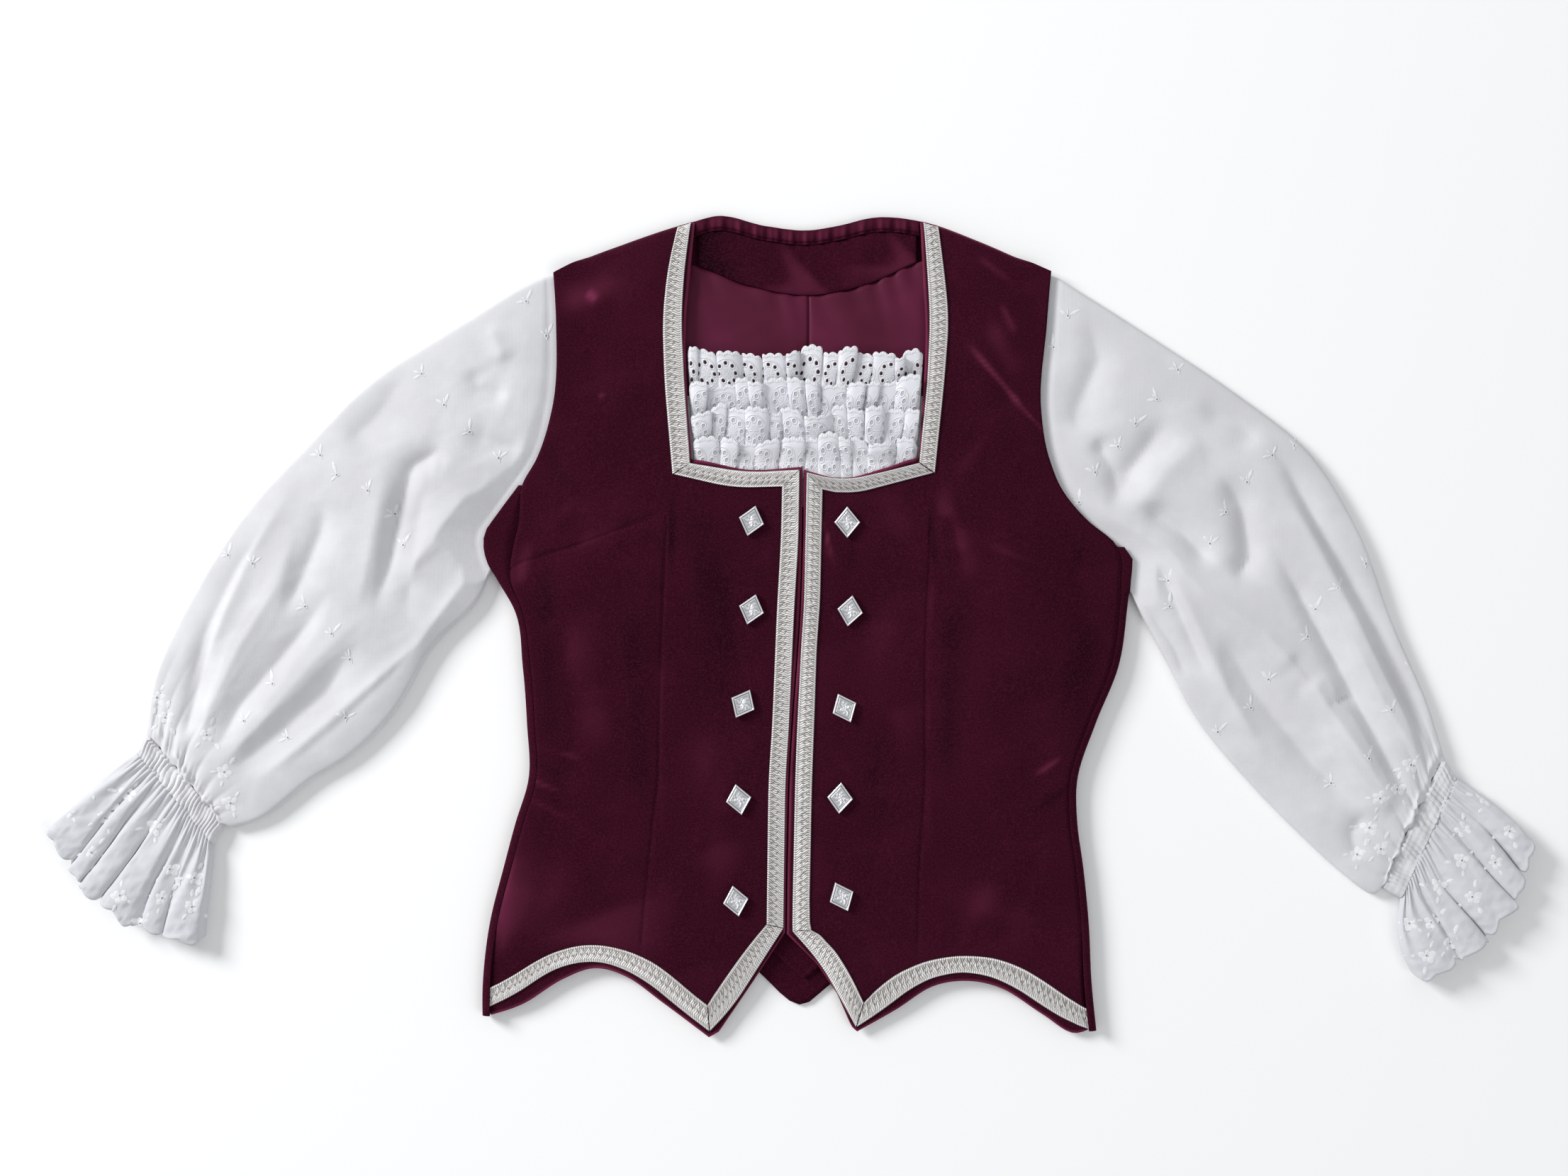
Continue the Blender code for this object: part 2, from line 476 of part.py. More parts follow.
def plate(name, low, high, x_from, x_to, top, wall, look, columns, rows=1, rise=None):
    """Flat piece between a low and a high edge, each a function that gives Y at X."""
    x = np.repeat(np.linspace(x_from, x_to, columns + 1)[None], rows + 1, 0)
    part = np.linspace(0, 1, rows + 1)[:, None]
    y = low(x) * (1 - part) + high(x) * part
    z = top + (rise(x, part) if rise else 0 * x)
    return sheet(name, np.stack([x, y, z], axis=-1), wall, look)


def make_neck_inside():
    """Satin lining in two halves, the velvet facing above it and the puckered band along the neck."""
    facing_edge = lambda x: outline(FACING_EDGE, x)
    band_foot = lambda x: outline(TOP_EDGE, x) - NECK_BAND
    foot = lambda x: 0 * x + LINING_FOOT
    under = lambda x: facing_edge(x) - SEAM_GAP
    left, right = LINING_SIDES
    plate("back_lining_left", foot, under, left, LINING_SEAM - SEAM_GAP / 2, LINING_TOP, SATIN, "satin", 6)
    plate("back_lining_right", foot, under, LINING_SEAM + SEAM_GAP / 2, right, LINING_TOP, SATIN, "satin", 6)
    left, right = NECK_SIDES
    plate("neck_facing", facing_edge, lambda x: band_foot(x) - SEAM_GAP, left, right,
          LINING_TOP + FACING_LIFT, VELVET, "velvet", 12)

    def pucker(x, part):
        turn = 2 * math.pi * PUCKERS * (x - left) / (right - left)
        return PUCKER_HEIGHT * (np.cos(turn) * (1 - part) + np.sin(math.pi * part))

    top = lambda x: outline(TOP_EDGE, x) - 0.5
    plate("neck_band", band_foot, top, left, right, LINING_TOP + BAND_LIFT, VELVET, "velvet",
          3 * PUCKERS, 2, pucker)


def make_hem_tab():
    """The V of the back's inner hem that shows between the points of the fronts."""
    low = lambda x: np.interp(x, TAB_HEM["x"], TAB_HEM["y"])
    left, right = TAB_HEM["x"][0], TAB_HEM["x"][-1]
    top = lambda x: 0 * x + TAB_TOP
    plate("back_hem_tab", low, top, left, right, LINING_TOP + TAB_LIFT, TAB_WALL, "velvet", 4)


def make_lace():
    """A plain backing, and four strips gathered along the lower edge, whose waves grow to the upper edge."""
    left, right = BACKING_SIDES
    plate("lace_backing", lambda x: 0 * x + BACKING_FOOT, lambda x: 0 * x + TIER_FEET[0] + 2, left, right,
          BACKING_TOP, COTTON, "cotton", 4)
    part = np.linspace(0, 1, TIER_WAVES * 3 + 1)[None]
    for number, (foot, height) in enumerate(zip(TIER_FEET, TIER_HEIGHTS)):
        up = np.append(TIER_RISE["up"][:-1], height)[:, None]
        rise = np.interp(up, TIER_RISE["up"], TIER_RISE["rise"])
        wave = np.interp(up, TIER_RISE["up"], TIER_RISE["wave"])
        y = foot + up
        left = line_x("left", "neck", np.maximum(y, NECK_ROW)) + TIER_SIDE_GAP
        right = line_x("right", "neck", np.maximum(y, NECK_ROW)) - TIER_SIDE_GAP
        phase = 2 * math.pi * TIER_WAVES * part + 0.8 * np.sin(5 * part + number)
        x = left * (1 - part) + right * part
        z = BACKING_TOP + SEAM_GAP + COTTON + rise + wave * np.cos(phase)
        sheet(f"lace_tier_{number + 1}", np.stack([x, y + 0 * x, z], axis=-1), COTTON, "lace")


def ring_places(width, roll, count):
    """Places across a flattened ring: round its edges, then evenly over the top and back underneath.

    Returns the share of the width and the height factor, 0 at the bottom and 1 on the top.
    """
    bend = 1 - math.sqrt(0.5)
    inner = np.linspace(0, 1, count)
    edge = roll / width
    top = np.concatenate([[0, bend * edge], edge + inner * (1 - 2 * edge), [1 - bend * edge, 1]])
    height = np.concatenate([[0.5, 1 - bend / 2], np.ones(count), [1 - bend / 2, 0.5]])
    under = np.array([1 - edge, 0.66, 0.34, edge])
    return np.concatenate([top, under]), np.concatenate([height, np.zeros(4)])


def column_row(column, r):
    return {key: values[r] for key, values in column.items()}


def tube(name, table, rings, count, look, side, shape, bow=None):
    """Flattened tube through the table's sections. shape gives the height of the top at a share along and
    across and at X and Y, and bow how far the section's middle bends outward."""
    at = np.linspace(0, len(table) - 1, rings)
    knots = np.arange(len(table))
    column = {key: curve(at, knots, table[key]) for key in table.dtype.names}
    edges = LEFT_SIDE if side == "left" else RIGHT_SIDE
    outward = -1 if side == "left" else 1
    points = []
    for r in range(rings):
        along = r / (rings - 1)
        outer = np.array((column["outer_x"][r], column["outer_y"][r]))
        inner = np.array((column["inner_x"][r], column["inner_y"][r]))
        width = math.dist(outer, inner)
        part, level = ring_places(width, TUBE_ROLL, count)
        x = outer[0] + (inner[0] - outer[0]) * part
        y = outer[1] + (inner[1] - outer[1]) * part
        seam = table[1] if at[r] > 1 else column_row(column, r)
        seam_x = seam["outer_x"] + (seam["inner_x"] - seam["outer_x"]) * part
        seam_y = seam["outer_y"] + (seam["inner_y"] - seam["outer_y"]) * part
        armhole = curve(seam_y, edges["y"], edges["armhole"]) - outward * column["tuck"][r]
        x = x + column["follow"][r] * (armhole - seam_x)
        if bow:
            reach = bow(along, part) * outward / width
            x, y = x - reach * (inner[1] - outer[1]), y + reach * (inner[0] - outer[0])
        top = shape(along, part, column["height"][r], x, y)
        points.append(np.stack([x, y, level * top], axis=-1))
    return sheet(name, np.array(points), COTTON, look, closed=True, flip=side == "left")


def make_sleeve(side):
    table = LEFT_SLEEVE if side == "left" else RIGHT_SLEEVE
    creases = LEFT_SLEEVE_FOLDS if side == "left" else RIGHT_SLEEVE_FOLDS
    edges = LEFT_SIDE if side == "left" else RIGHT_SIDE
    outward = -1 if side == "left" else 1

    def shape(along, part, height, x, y):
        middle = np.sin(math.pi * np.clip(part, 0, 1))**0.6
        edge = min(height, EDGE_HEIGHT)
        crown = edge + (height - edge) * middle
        free = ease((along - 0.12) / 0.12) * ease((1 - along) / 0.12)
        gathers = 1.2 * np.cos(2 * math.pi * SLEEVE_GATHERS * part) * ease((along - 0.78) / 0.22)
        top = np.maximum(crown + middle * (folds(creases, x, y) * free + gathers), 5.0)
        beyond = outward * (x - curve(y, edges["y"], edges["edge"]))
        under = UNDER_FLAP + FLAP_SLOPE * np.maximum(beyond - FLAP_CLEARANCE, 0)
        return np.where(y > UNDERARM_Y[side], np.minimum(top, under), top)

    tube(f"sleeve_{side}", table, SLEEVE_RINGS, SLEEVE_TOP_POINTS, "cotton", side, shape)


def make_cuff(side):
    first, second, third, fourth = LEFT_CUFF if side == "left" else RIGHT_CUFF
    table = np.array([(*first, *second, 0, 0, WRIST_HEIGHT), (*third, *fourth, 0, 0, WRIST_HEIGHT)],
                     dtype=SLEEVE_COLUMNS)

    def shape(along, part, height, x, y):
        pinch = 0.8 - 0.5 * math.sin(math.pi * along)
        return height + pinch * np.cos(2 * math.pi * CUFF_GATHERS * part)

    tube(f"cuff_{side}", table, 3, CUFF_GATHERS * POINTS_PER_WAVE + 1, "cotton", side, shape)


def make_frill(side):
    table = LEFT_FRILL if side == "left" else RIGHT_FRILL

    def shape(along, part, height, x, y):
        swing = (0.6 + 2.6 * along) * np.cos(2 * math.pi * FRILL_WAVES * part + 0.6 * math.sin(4 * along))
        return height + swing

    def bow(along, part):
        return FRILL_BOW * along * np.sin(math.pi * part)**0.8

    tube(f"frill_{side}", table, 5, FRILL_WAVES * POINTS_PER_WAVE + 1, "lace", side, shape, bow)


def front_tree(side):
    """The front's own outer face, to lay trim on."""
    x, y = front_plan(side)
    z = front_height(side, x, y)
    corners = [Vector(p) for p in np.stack([x, y, z], axis=-1).reshape(-1, 3).tolist()]
    cols = x.shape[1]
    quads = [(r * cols + c, r * cols + c + 1, (r + 1) * cols + c + 1, (r + 1) * cols + c)
             for r in range(x.shape[0] - 1) for c in range(cols - 1)]
    return BVHTree.FromPolygons(corners, quads)


def drop(tree, x, y):
    hit = tree.ray_cast(Vector((x, y, 100)), Vector((0, 0, -1)))[0]
    if hit is None:
        hit = tree.find_nearest(Vector((x, y, FRONT_TOP)))[0]
    return hit.z


def make_braid(name, tree, first, second):
    """Strip between two edges, each a list of corners, laid on the front's own face."""
    lengths = [np.concatenate([[0], np.cumsum(np.hypot(*np.diff(np.array(e, float), axis=0).T))])
               for e in (first, second)]
    run = lengths[0][-1]
    places = np.linspace(0, 1, max(2, round(run / BRAID_STEP)) + 1)
    if first[0][1] > SHOULDER_FADE:
        close = np.arange(0, SHOULDER_ROLL + BRAID_STEP, SHOULDER_ROLL / 3) / run
        places = np.concatenate([close, places[places > close[-1] + 0.01]])
    rows = []
    for s in places:
        row = []
        for edge, length in zip((first, second), lengths):
            xy = np.array(edge, float)
            at = s * length[-1]
            x, y = np.interp(at, length, xy[:, 0]), np.interp(at, length, xy[:, 1])
            row.append((x, y, drop(tree, x, y) + LAID_GAP + BRAID))
        rows.append(row)
    points = np.array(rows)
    across_strip, along_strip = points[0, 1] - points[0, 0], points[1, 0] - points[0, 0]
    faces_down = across_strip[0] * along_strip[1] - across_strip[1] * along_strip[0] < 0
    return sheet(name, points, BRAID, "braid", flip=bool(faces_down))


def make_button(name, tree, x, y, turn):
    """Lozenge plate with a raised rim: a four-sided cone cut short, its top face dished inside the rim."""
    mesh = bpy.data.meshes.new(name)
    block = bmesh.new()
    half = BUTTON_THICKNESS / 2
    bmesh.ops.create_cone(block, cap_ends=True, segments=4, radius1=1, radius2=0.9, depth=BUTTON_THICKNESS)
    bmesh.ops.scale(block, vec=(BUTTON_WIDTH / 2, BUTTON_LENGTH / 2, 1), verts=block.verts)
    top = [f for f in block.faces if f.normal.z > 0.9]
    bmesh.ops.inset_individual(block, faces=top, thickness=BUTTON_RIM)
    bmesh.ops.translate(block, verts=top[0].verts, vec=(0, 0, -BUTTON_DISH))
    turned = Matrix.Rotation(math.radians(turn), 3, "Z")
    bmesh.ops.rotate(block, verts=block.verts, cent=(0, 0, 0), matrix=turned)
    bmesh.ops.translate(block, verts=block.verts, vec=(x, y, 0))
    reach = BUTTON_LENGTH / 2
    seat = max(drop(tree, x + dx * reach, y + dy * reach)
               for dx, dy in ((0, 0), (1, 0), (-1, 0), (0, 1), (0, -1), (0.5, 0.5), (-0.5, -0.5)))
    bmesh.ops.translate(block, verts=block.verts, vec=(0, 0, seat + LAID_GAP + half))
    bmesh.ops.scale(block, vec=(MM, MM, MM), verts=block.verts)
    bmesh.ops.recalc_face_normals(block, faces=block.faces)
    block.to_mesh(mesh)
    block.free()
    place(name, mesh, "button")


def make_trim(side):
    tree = front_tree(side)
    for run, (first, second) in BRAID_PATHS[side].items():
        make_braid(f"braid_{side}_{run}", tree, first, second)
    buttons = LEFT_BUTTONS if side == "left" else RIGHT_BUTTONS
    for number, row in enumerate(buttons):
        make_button(f"button_{side}_{number + 1}", tree, row["x"], row["y"], row["turn"])


for old in list(bpy.data.objects):
    bpy.data.objects.remove(old, do_unlink=True)
GARMENT = bpy.data.collections.new("dance_waistcoat")
bpy.context.scene.collection.children.link(GARMENT)
LOOKS = {name: make_look(name) for name in COLOURS}

make_back()
make_neck_inside()
make_hem_tab()
make_lace()
for half in ("left", "right"):
    make_front(half)
    make_sleeve(half)
    make_cuff(half)
    make_frill(half)
    make_trim(half)
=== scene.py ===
"""Looks of a velvet dance waistcoat with blouse sleeves and a lace front, laid flat on a pale floor.

Sizes are in millimetres and are turned into metres where a mesh is made. X runs to the right across the
garment as it is seen from above, Y from the hem to the neck, and Z up from the floor. Each piece is a surface
worked out on a grid from the tables below, which hold the sizes of the solids that the piece takes the place
of. In a pair of tables, left and right are as seen from above.
"""

import math

import bpy
import numpy as np
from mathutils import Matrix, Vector


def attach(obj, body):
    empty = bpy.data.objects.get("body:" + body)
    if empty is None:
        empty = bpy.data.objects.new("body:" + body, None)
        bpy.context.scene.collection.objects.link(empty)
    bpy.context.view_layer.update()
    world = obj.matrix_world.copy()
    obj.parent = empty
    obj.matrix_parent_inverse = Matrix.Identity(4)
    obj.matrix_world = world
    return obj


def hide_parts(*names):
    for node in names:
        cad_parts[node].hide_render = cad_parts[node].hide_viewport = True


MM = 0.001
TAU = 2 * math.pi


def table(names, *rows):
    """Rows of numbers whose columns have the names."""
    return np.array(list(rows), dtype=[(name, float) for name in names.split()])


# Camera, lights and floor, in metres
VIEW_WIDTH, VIEW_MIDDLE = 1.106, (-0.00425, 0.027)
LENS, SENSOR = 50.0, 36.0
KEY_SIZE, KEY_POWER, KEY_PLACE = 1.5, 200.0, (-3.5, 2.05, 2.2)
FILL_SIZE, FILL_POWER, FILL_PLACE = 2.5, 34.0, (2.5, -1.5, 3.4)
WORLD_STRENGTH, WORLD_COLOUR = 0.48, (0.96, 0.98, 1.0, 1)
FLOOR_HALF, FLOOR_Z = 3000.0, -1.0

# Colours, as linear red, green, blue and alpha
VELVET_DEEP, VELVET_LIT = (0.026, 0.0022, 0.0078, 1), (0.038, 0.0038, 0.0125, 1)
VELVET_STREAK, VELVET_TIPS = (0.07, 0.0085, 0.026, 1), (0.1, 0.016, 0.038, 1)
# Velvet colours for the pieces' attribute: the dark one is painted shade, the rosy one crushed pile and
# painted sheen
NAP_DARK_AND_PAINTED_SHADE, NAP_ROSY_AND_PAINTED_SHEEN, VELVET_SHEEN = (0.008, 0.001, 0.003, 1), (0.24, 0.038, 0.092, 1), (0.85, 0.1, 0.3, 1.0)
SATIN_DEEP, SATIN_LIT = (0.072, 0.0075, 0.024, 1), (0.118, 0.014, 0.043, 1)
COTTON_SHADES = (0.645, 0.642, 0.665, 1), (0.725, 0.725, 0.745, 1)
STITCHED_GROUND, STITCHED_THREAD = (0.61, 0.615, 0.645, 1), (0.76, 0.765, 0.795, 1)
# Grey of the frill's eyelet holes: painted shade
STITCHED_EYELET_SHADOW = (0.3, 0.3, 0.33, 1)
LACE_GROUND, LACE_THREAD = (0.76, 0.76, 0.81, 1), (0.93, 0.93, 0.96, 1)
# What the lace's eyelets show: the satin lining and the white backing, each darkened by painted shade
SHADED_LINING_BEHIND_TOP_TIER, SHADED_BACKING_BEHIND_TIERS = (0.035, 0.008, 0.016, 1), (0.5, 0.5, 0.57, 1)
BRAID_LOW, BRAID_HIGH = (0.3, 0.275, 0.26, 1), (0.9, 0.88, 0.87, 1)
BRAID_GAP, BRAID_WORN = (0.12, 0.1, 0.09, 1), (0.5, 0.44, 0.38, 1)
PLATE_LOW, PLATE_HIGH = (0.3, 0.3, 0.32, 1), (0.93, 0.93, 0.95, 1)
THREAD, EYELET_SHADOW, FLOOR = (0.775, 0.78, 0.805, 1), (0.33, 0.33, 0.345, 1), (0.96, 0.96, 0.96, 1)

# Cloth walls and the gaps between layers
VELVET, TAB_WALL, SATIN, COTTON, LACE, BRAID = 1.6, 1.2, 0.6, 0.6, 0.45, 0.6
SIDE_SEAM_GAP, SEAM_GAP, LAID_GAP = 0.05, 0.4, 0.45

# Heights above the floor, and the sizes of the rolled edges
FRONT_TOP, SIDE_ROLL, ARMHOLE_EDGE_Z = 10.0, 5.0, 9.2
LINING_TOP, BACKING_TOP = 3.3, 4.6
SHOULDER_EDGE_Z, SHOULDER_ROLL = 2.4, 9.0
HEM_DROP, HEM_DROP_FROM, HEM_DROP_RUN = 4.0, -205.0, 80.0
EDGE_ROLL, EDGE_ROLL_DROP = 2.2, 1.3

# Lines down each front, as X at a height Y
LINES = "y centre neck dart side"
FRONTS = {
    "left": table(
        LINES, (-290, -3.5, -56, -108, -210), (-250, -3.5, -58, -106, -210), (-208, -3.2, -60, -103, -205),
        (-168, -2.7, -62, -99, -195), (-138, -2.0, -63, -96, -187), (-108, -1.2, -64, -92.5, -178),
        (-68, 1.0, -65, -91.5, -179), (-28, 4.0, -66, -90.5, -182), (12, 6.7, -67, -89, -188),
        (33, 7.5, -67.5, -88, -196), (56, 8.1, -68, -87, -194), (74, 8.5, -68.5, -86.5, -190),
        (84, 8.6, -69, -87, -189.5), (99, 8.7, -69, -87, -187.8), (117, 8.9, -69, -89, -178),
        (152, 9, -71.5, -94, -167), (212, 9, -73, -102, -164), (248, 9, -70, -104, -166),
        (290, 9, -66, -104, -170)),
    "right": table(
        LINES, (-290, -2.7, 47, 88, 210), (-250, -2.7, 49, 89, 206), (-208, -2.4, 52, 90, 204),
        (-168, -1.9, 57, 91, 200), (-138, -1.2, 60, 93, 196), (-108, -0.4, 64, 95, 196),
        (-68, 1.8, 68, 95, 209), (-28, 4.8, 72, 95, 225), (12, 7.5, 77, 96, 231), (33, 8.3, 80, 97, 232),
        (52, 8.9, 82, 98, 231), (58, 9.1, 82.5, 98, 228), (74, 9.3, 84, 99, 209), (94, 9.5, 87, 101, 192),
        (117, 9.7, 90, 105, 182), (152, 9.8, 92.5, 114, 176), (212, 9.8, 95, 122, 180),
        (248, 9.8, 93, 124, 183), (290, 9.8, 91, 124, 188))}

# The garment's side from above, and the armhole line that the sleeve is sewn to
EDGES = "y edge armhole"
SIDES = {
    "left": table(
        EDGES, (-290, -216, -216), (-250, -216, -216), (-208, -211, -211), (-168, -201, -201),
        (-138, -193, -193), (-108, -184, -184), (-68, -185, -185), (-28, -188, -188), (12, -194, -200),
        (33, -206, -210), (44, -212, -209), (56, -215, -206.5), (66, -214, -203.5), (78, -206, -199),
        (99, -190.5, -189.5), (117, -178, -178), (152, -167, -167), (212, -164, -164), (248, -166, -166),
        (290, -170, -170)),
    "right": table(
        EDGES, (-290, 216, 216), (-250, 212, 212), (-208, 210, 210), (-168, 206, 206), (-138, 202, 202),
        (-108, 202, 202), (-68, 215, 215), (-28, 231, 231), (12, 237, 240), (33, 239, 234), (52, 238, 224),
        (58, 232, 220.5), (74, 209, 207.5), (94, 192, 192), (117, 182, 182), (152, 176, 176), (212, 180, 180),
        (248, 183, 183), (290, 188, 188))}

# Outlines across the garment, as Y at a place X
OUTLINE = "x y"
SCALLOPS = {
    "left": table(
        OUTLINE, (-216, -275), (-187, -265), (-160, -248), (-137, -240), (-115, -246), (-90, -264),
        (-57, -289)),
    "right": table(
        OUTLINE, (47, -285), (75, -269), (100, -253), (123, -249), (148, -254), (178, -273), (200, -286),
        (216, -281))}
POINTS = {
    "left": table(OUTLINE, (-57, -289), (-50, -285), (-27, -251), (-3, -214)),
    "right": table(OUTLINE, (-2, -216), (19, -237), (33, -258), (43, -281), (47, -285))}
NECKS = {
    "left": table(OUTLINE, (-73, 117), (-69, 117), (-29, 110), (9, 112)),
    "right": table(OUTLINE, (9, 110), (36, 104), (66, 111), (90, 118), (94, 118))}
TOP_EDGE = table(
    OUTLINE, (-170, 246), (-157, 253), (-117, 269), (-68, 285), (-52, 289), (-17, 282), (13, 279), (33, 282),
    (60, 288), (93, 285), (133, 271), (163, 258), (188, 247))
BACK_HEM = table(
    OUTLINE, (-216, -271), (-187, -260), (-160, -244), (-137, -236), (-110, -232), (-60, -226), (-27, -240),
    (11, -266), (26, -254), (60, -232), (100, -240), (123, -245), (148, -250), (178, -268), (200, -280),
    (216, -277))
FACING_EDGE = table(OUTLINE, (-84, 258), (-70, 255), (-30, 240), (13, 233), (55, 241), (92, 257), (106, 261))
TAB_HEM = table(OUTLINE, (-36, -209), (10, -248), (42, -222))
TAB_TOP = -190.0

# Rows and columns of the fronts: a column is 0 at the centre, 1 at the neck line, 2 at the dart and 3 at the
# side
FRONT_ROWS = (
    -258, -240, -215, -185, -155, -125, -95, -62, -28, 5, 32, 50, 60, 62, 70, 80, 92, 103, 117, 142, 170, 200,
    228, 246, 256, 262)
ROW_STEP, BACK_STEP = 2.8, 5.0
EDGE_ROWS = (-257.4, -256.6, -255.6, -254, 112.6, 114.3, 115.4, 116.3)
DART_ROWS = np.linspace(55, 65, 13)
FINE_COLUMNS = np.unique(np.concatenate([
    np.linspace(0, 1, 27), np.linspace(1, 2, 13), np.linspace(2, 3, 33), (0.008, 0.018, 0.03, 0.05),
    (1.02, 1.045, 1.075, 1.11), (1.9, 1.95, 1.98, 2.008, 2.018, 2.04)]))
NECK_ROW, NECK_COLUMN, DART_COLUMN, SIDE_COLUMN, PLAN_PASSES = 117, 1, 2, 3, 4
HEM_FADE, NECK_FADE, SHOULDER_FADE = -120, 60, 150
WAIST_DART = {"depth": 0.9, "half_width": 1.3, "top": 78, "foot": -232}
DART_DIP, DART_DIP_WIDTH, DART_END = 0.35, 6, 12
BUST_HEIGHT, BUST_RADIUS = 6.0, 52.0
BUSTS = {"left": (-132, 40), "right": (150, 36)}
BUST_DART_ROW, BUST_DART_REACH = 60, 55.0
BUST_DART_RISE = {"left": (14, -18), "right": (2, -38)}
SIDE_LEVEL, SIDE_RUN = 9.0, 18.0
HEM_LEVEL, HEM_RUN = 24.0, 20.0
ARMHOLE_LEVEL, ARMHOLE_RUN = 12.0, 16.0

# The back, and the rows where its sides open for the sleeves and where the part turned onto the front ends
BACK_COLUMNS, ROLL_STEPS, SIDE_STEPS = 60, 5, 12
UNDERARM_ROWS = {"left": (50, 60), "right": (60, 62)}
WRAP_TOP_ROW = {"left": 103, "right": 80}
SIDE_REACH, BACK_TUCK = 0.33, 13.0

# Soft folds, from one end to the other: half width and height, which is below 0 for a trough
FOLDS = "x1 y1 x2 y2 width height"
VELVET_FOLDS = table(
    FOLDS, (-100, 70, -104, -60, 13, 1.5), (-176, 60, -160, -20, 14, -1.6), (-152, -90, -188, -150, 16, -1.8),
    (-160, -200, -130, -150, 18, 1.6), (-120, 190, -140, 120, 18, 1.8), (-46, 60, -40, -120, 16, -1.0),
    (108, 60, 112, -40, 14, 1.6), (190, 60, 214, 0, 16, -1.8), (186, -96, 150, -130, 16, -1.8),
    (146, -200, 170, -150, 18, 1.6), (130, 210, 150, 130, 18, 1.8), (70, -90, 66, -200, 14, -1.0))
VELVET_CREASES = table(
    FOLDS, (-98, 75, -190, 42, 5, -1.2), (108, 64, 188, 34, 5, -1.2), (188, 34, 232, 12, 5, -1.0),
    (-150, 84, -168, 66, 5, 1.2), (-118, 84, -122, 58, 7, 1.0), (-182, -100, -150, -112, 5, -1.0),
    (-186, -112, -160, -128, 5, 0.8), (196, -100, 170, -118, 5, -1.0), (150, 180, 160, 140, 6, -1.0),
    (138, 196, 120, 150, 8, -0.8), (-148, 214, -136, 170, 8, -0.8), (-168, -10, -150, -60, 7, -0.8),
    (206, -20, 190, -70, 7, -0.8), (40, -150, 30, -200, 6, -0.8), (60, -120, 90, -170, 9, 0.8),
    (-60, -140, -84, -190, 8, 0.8), (-126, -30, -116, -90, 9, -0.7), (128, -10, 122, -80, 9, -0.7))
# Crushed pile and painted light on the fronts: its height is how rosy the pile looks, for crushed pile and
# for painted highlights along creases and edges, or how dark below 0, for painted shade in folds and under
# the neck
CRUSHED_NAP_AND_PAINTED_LIGHT = table(
    FOLDS, (128, 194, 165, 151, 2.6, 0.5), (165, 151, 183, 131, 2.2, 0.45), (133, 258, 155, 242, 3.5, 0.3),
    (148, 226, 158, 206, 3.0, 0.3), (140, 214, 158, 176, 9, 0.27), (-142, 234, -136, 229, 3.5, 0.4),
    (-160, 226, -118, 244, 12, 0.26), (-134, 163, -130, 160, 2.2, 0.3), (23, 76, 28, 54, 1.6, 0.4),
    (28, 54, 36, 38, 3.0, 0.25), (-120, 70, -150, 58, 4, 0.15), (140, 56, 176, 42, 4, 0.15),
    (-93, 66, -90, -160, 2.6, 0.1), (99, 40, 97, -160, 2.6, 0.1), (-150, 0, -132, -90, 18, 0.18),
    (170, -60, 160, -150, 20, 0.18), (-60, -60, -52, -170, 16, 0.16), (70, 20, 62, -80, 16, 0.14),
    (-198, -160, -204, -230, 6, 0.24), (-182, 60, -190, 30, 7, 0.25), (-46, 30, -44, -20, 9, -0.3),
    (62, -60, 56, -140, 10, -0.3), (-112, 20, -104, -130, 10, -0.4), (112, 20, 110, -110, 9, -0.4),
    (-172, 40, -166, -90, 9, -0.4), (206, 20, 196, -60, 10, -0.3), (-100, 82, -98, 56, 5, -0.35),
    (-180, -195, -80, -225, 34, 0.19), (-190, -140, -196, -220, 14, 0.2), (-82, 92, -84, 40, 3.0, -0.5),
    (-70, 90, -60, 30, 16, -0.2), (98, 84, 101, 44, 3.0, -0.6), (106, 92, 128, 30, 9, 0.24),
    (43, 70, 44, 40, 2.6, -0.5), (62, 96, 84, 60, 10, 0.12), (214, 0, 200, -90, 12, -0.35),
    (150, 20, 150, -140, 24, -0.18), (-62, 60, -50, -60, 20, -0.3), (130, -190, 170, -215, 16, 0.2),
    (-110, 60, -70, 96, 6, 0.14), (-176, -84, -150, -92, 2.4, 0.3), (-190, -104, -160, -116, 2.2, 0.28),
    (-180, -122, -158, -134, 2.2, 0.25), (-186, -94, -158, -104, 2.6, -0.4), (190, -92, 172, -104, 2.2, 0.3),
    (196, -112, 176, -126, 2.4, -0.4), (204, 60, 196, 30, 4, -0.35), (-170, 130, -160, 100, 8, -0.25),
    (176, 120, 166, 160, 8, -0.25), (140, 140, 120, 110, 6, 0.14), (100, 160, 112, 128, 6, -0.2),
    (108, 74, 112, 44, 5, -0.4), (34, 60, 38, 30, 5, -0.35), (190, -110, 150, -150, 12, -0.25))
DART_SEAMS = table(
    FOLDS, (-97, 76, -151, 56, 1.3, -0.9), (-151, 56, -188, 45, 1.3, -0.9), (-188, 45, -197, 40, 1.3, -0.9),
    (110, 65, 134, 54, 1.3, -0.9), (134, 54, 171, 41, 1.3, -0.9), (171, 41, 207, 22, 1.3, -0.9),
    (207, 22, 234, 11, 1.3, -0.9))

# Flat cut of each piece of cloth: width, length, and area in square metres
CUTS = {
    "back": (490, 560, 0.206), "lining_left": (93, 165, 0.014), "lining_right": (91, 165, 0.0138),
    "facing": (155, 45, 0.0049), "neck_band": (178, 12, 0.002), "backing": (178, 78, 0.01388),
    "hem_tab": (78, 58, 0.0031), "front_left": (225, 575, 0.0865), "front_right": (240, 575, 0.091),
    "sleeve_left": (520, 360, 0.15), "sleeve_right": (530, 370, 0.155), "cuff_left": (260, 13.5, 0.0035),
    "cuff_right": (290, 14.5, 0.0042), "frill_left": (460, 62, 0.0265), "frill_right": (460, 56, 0.0235)}
TIER_WIDTH = 250

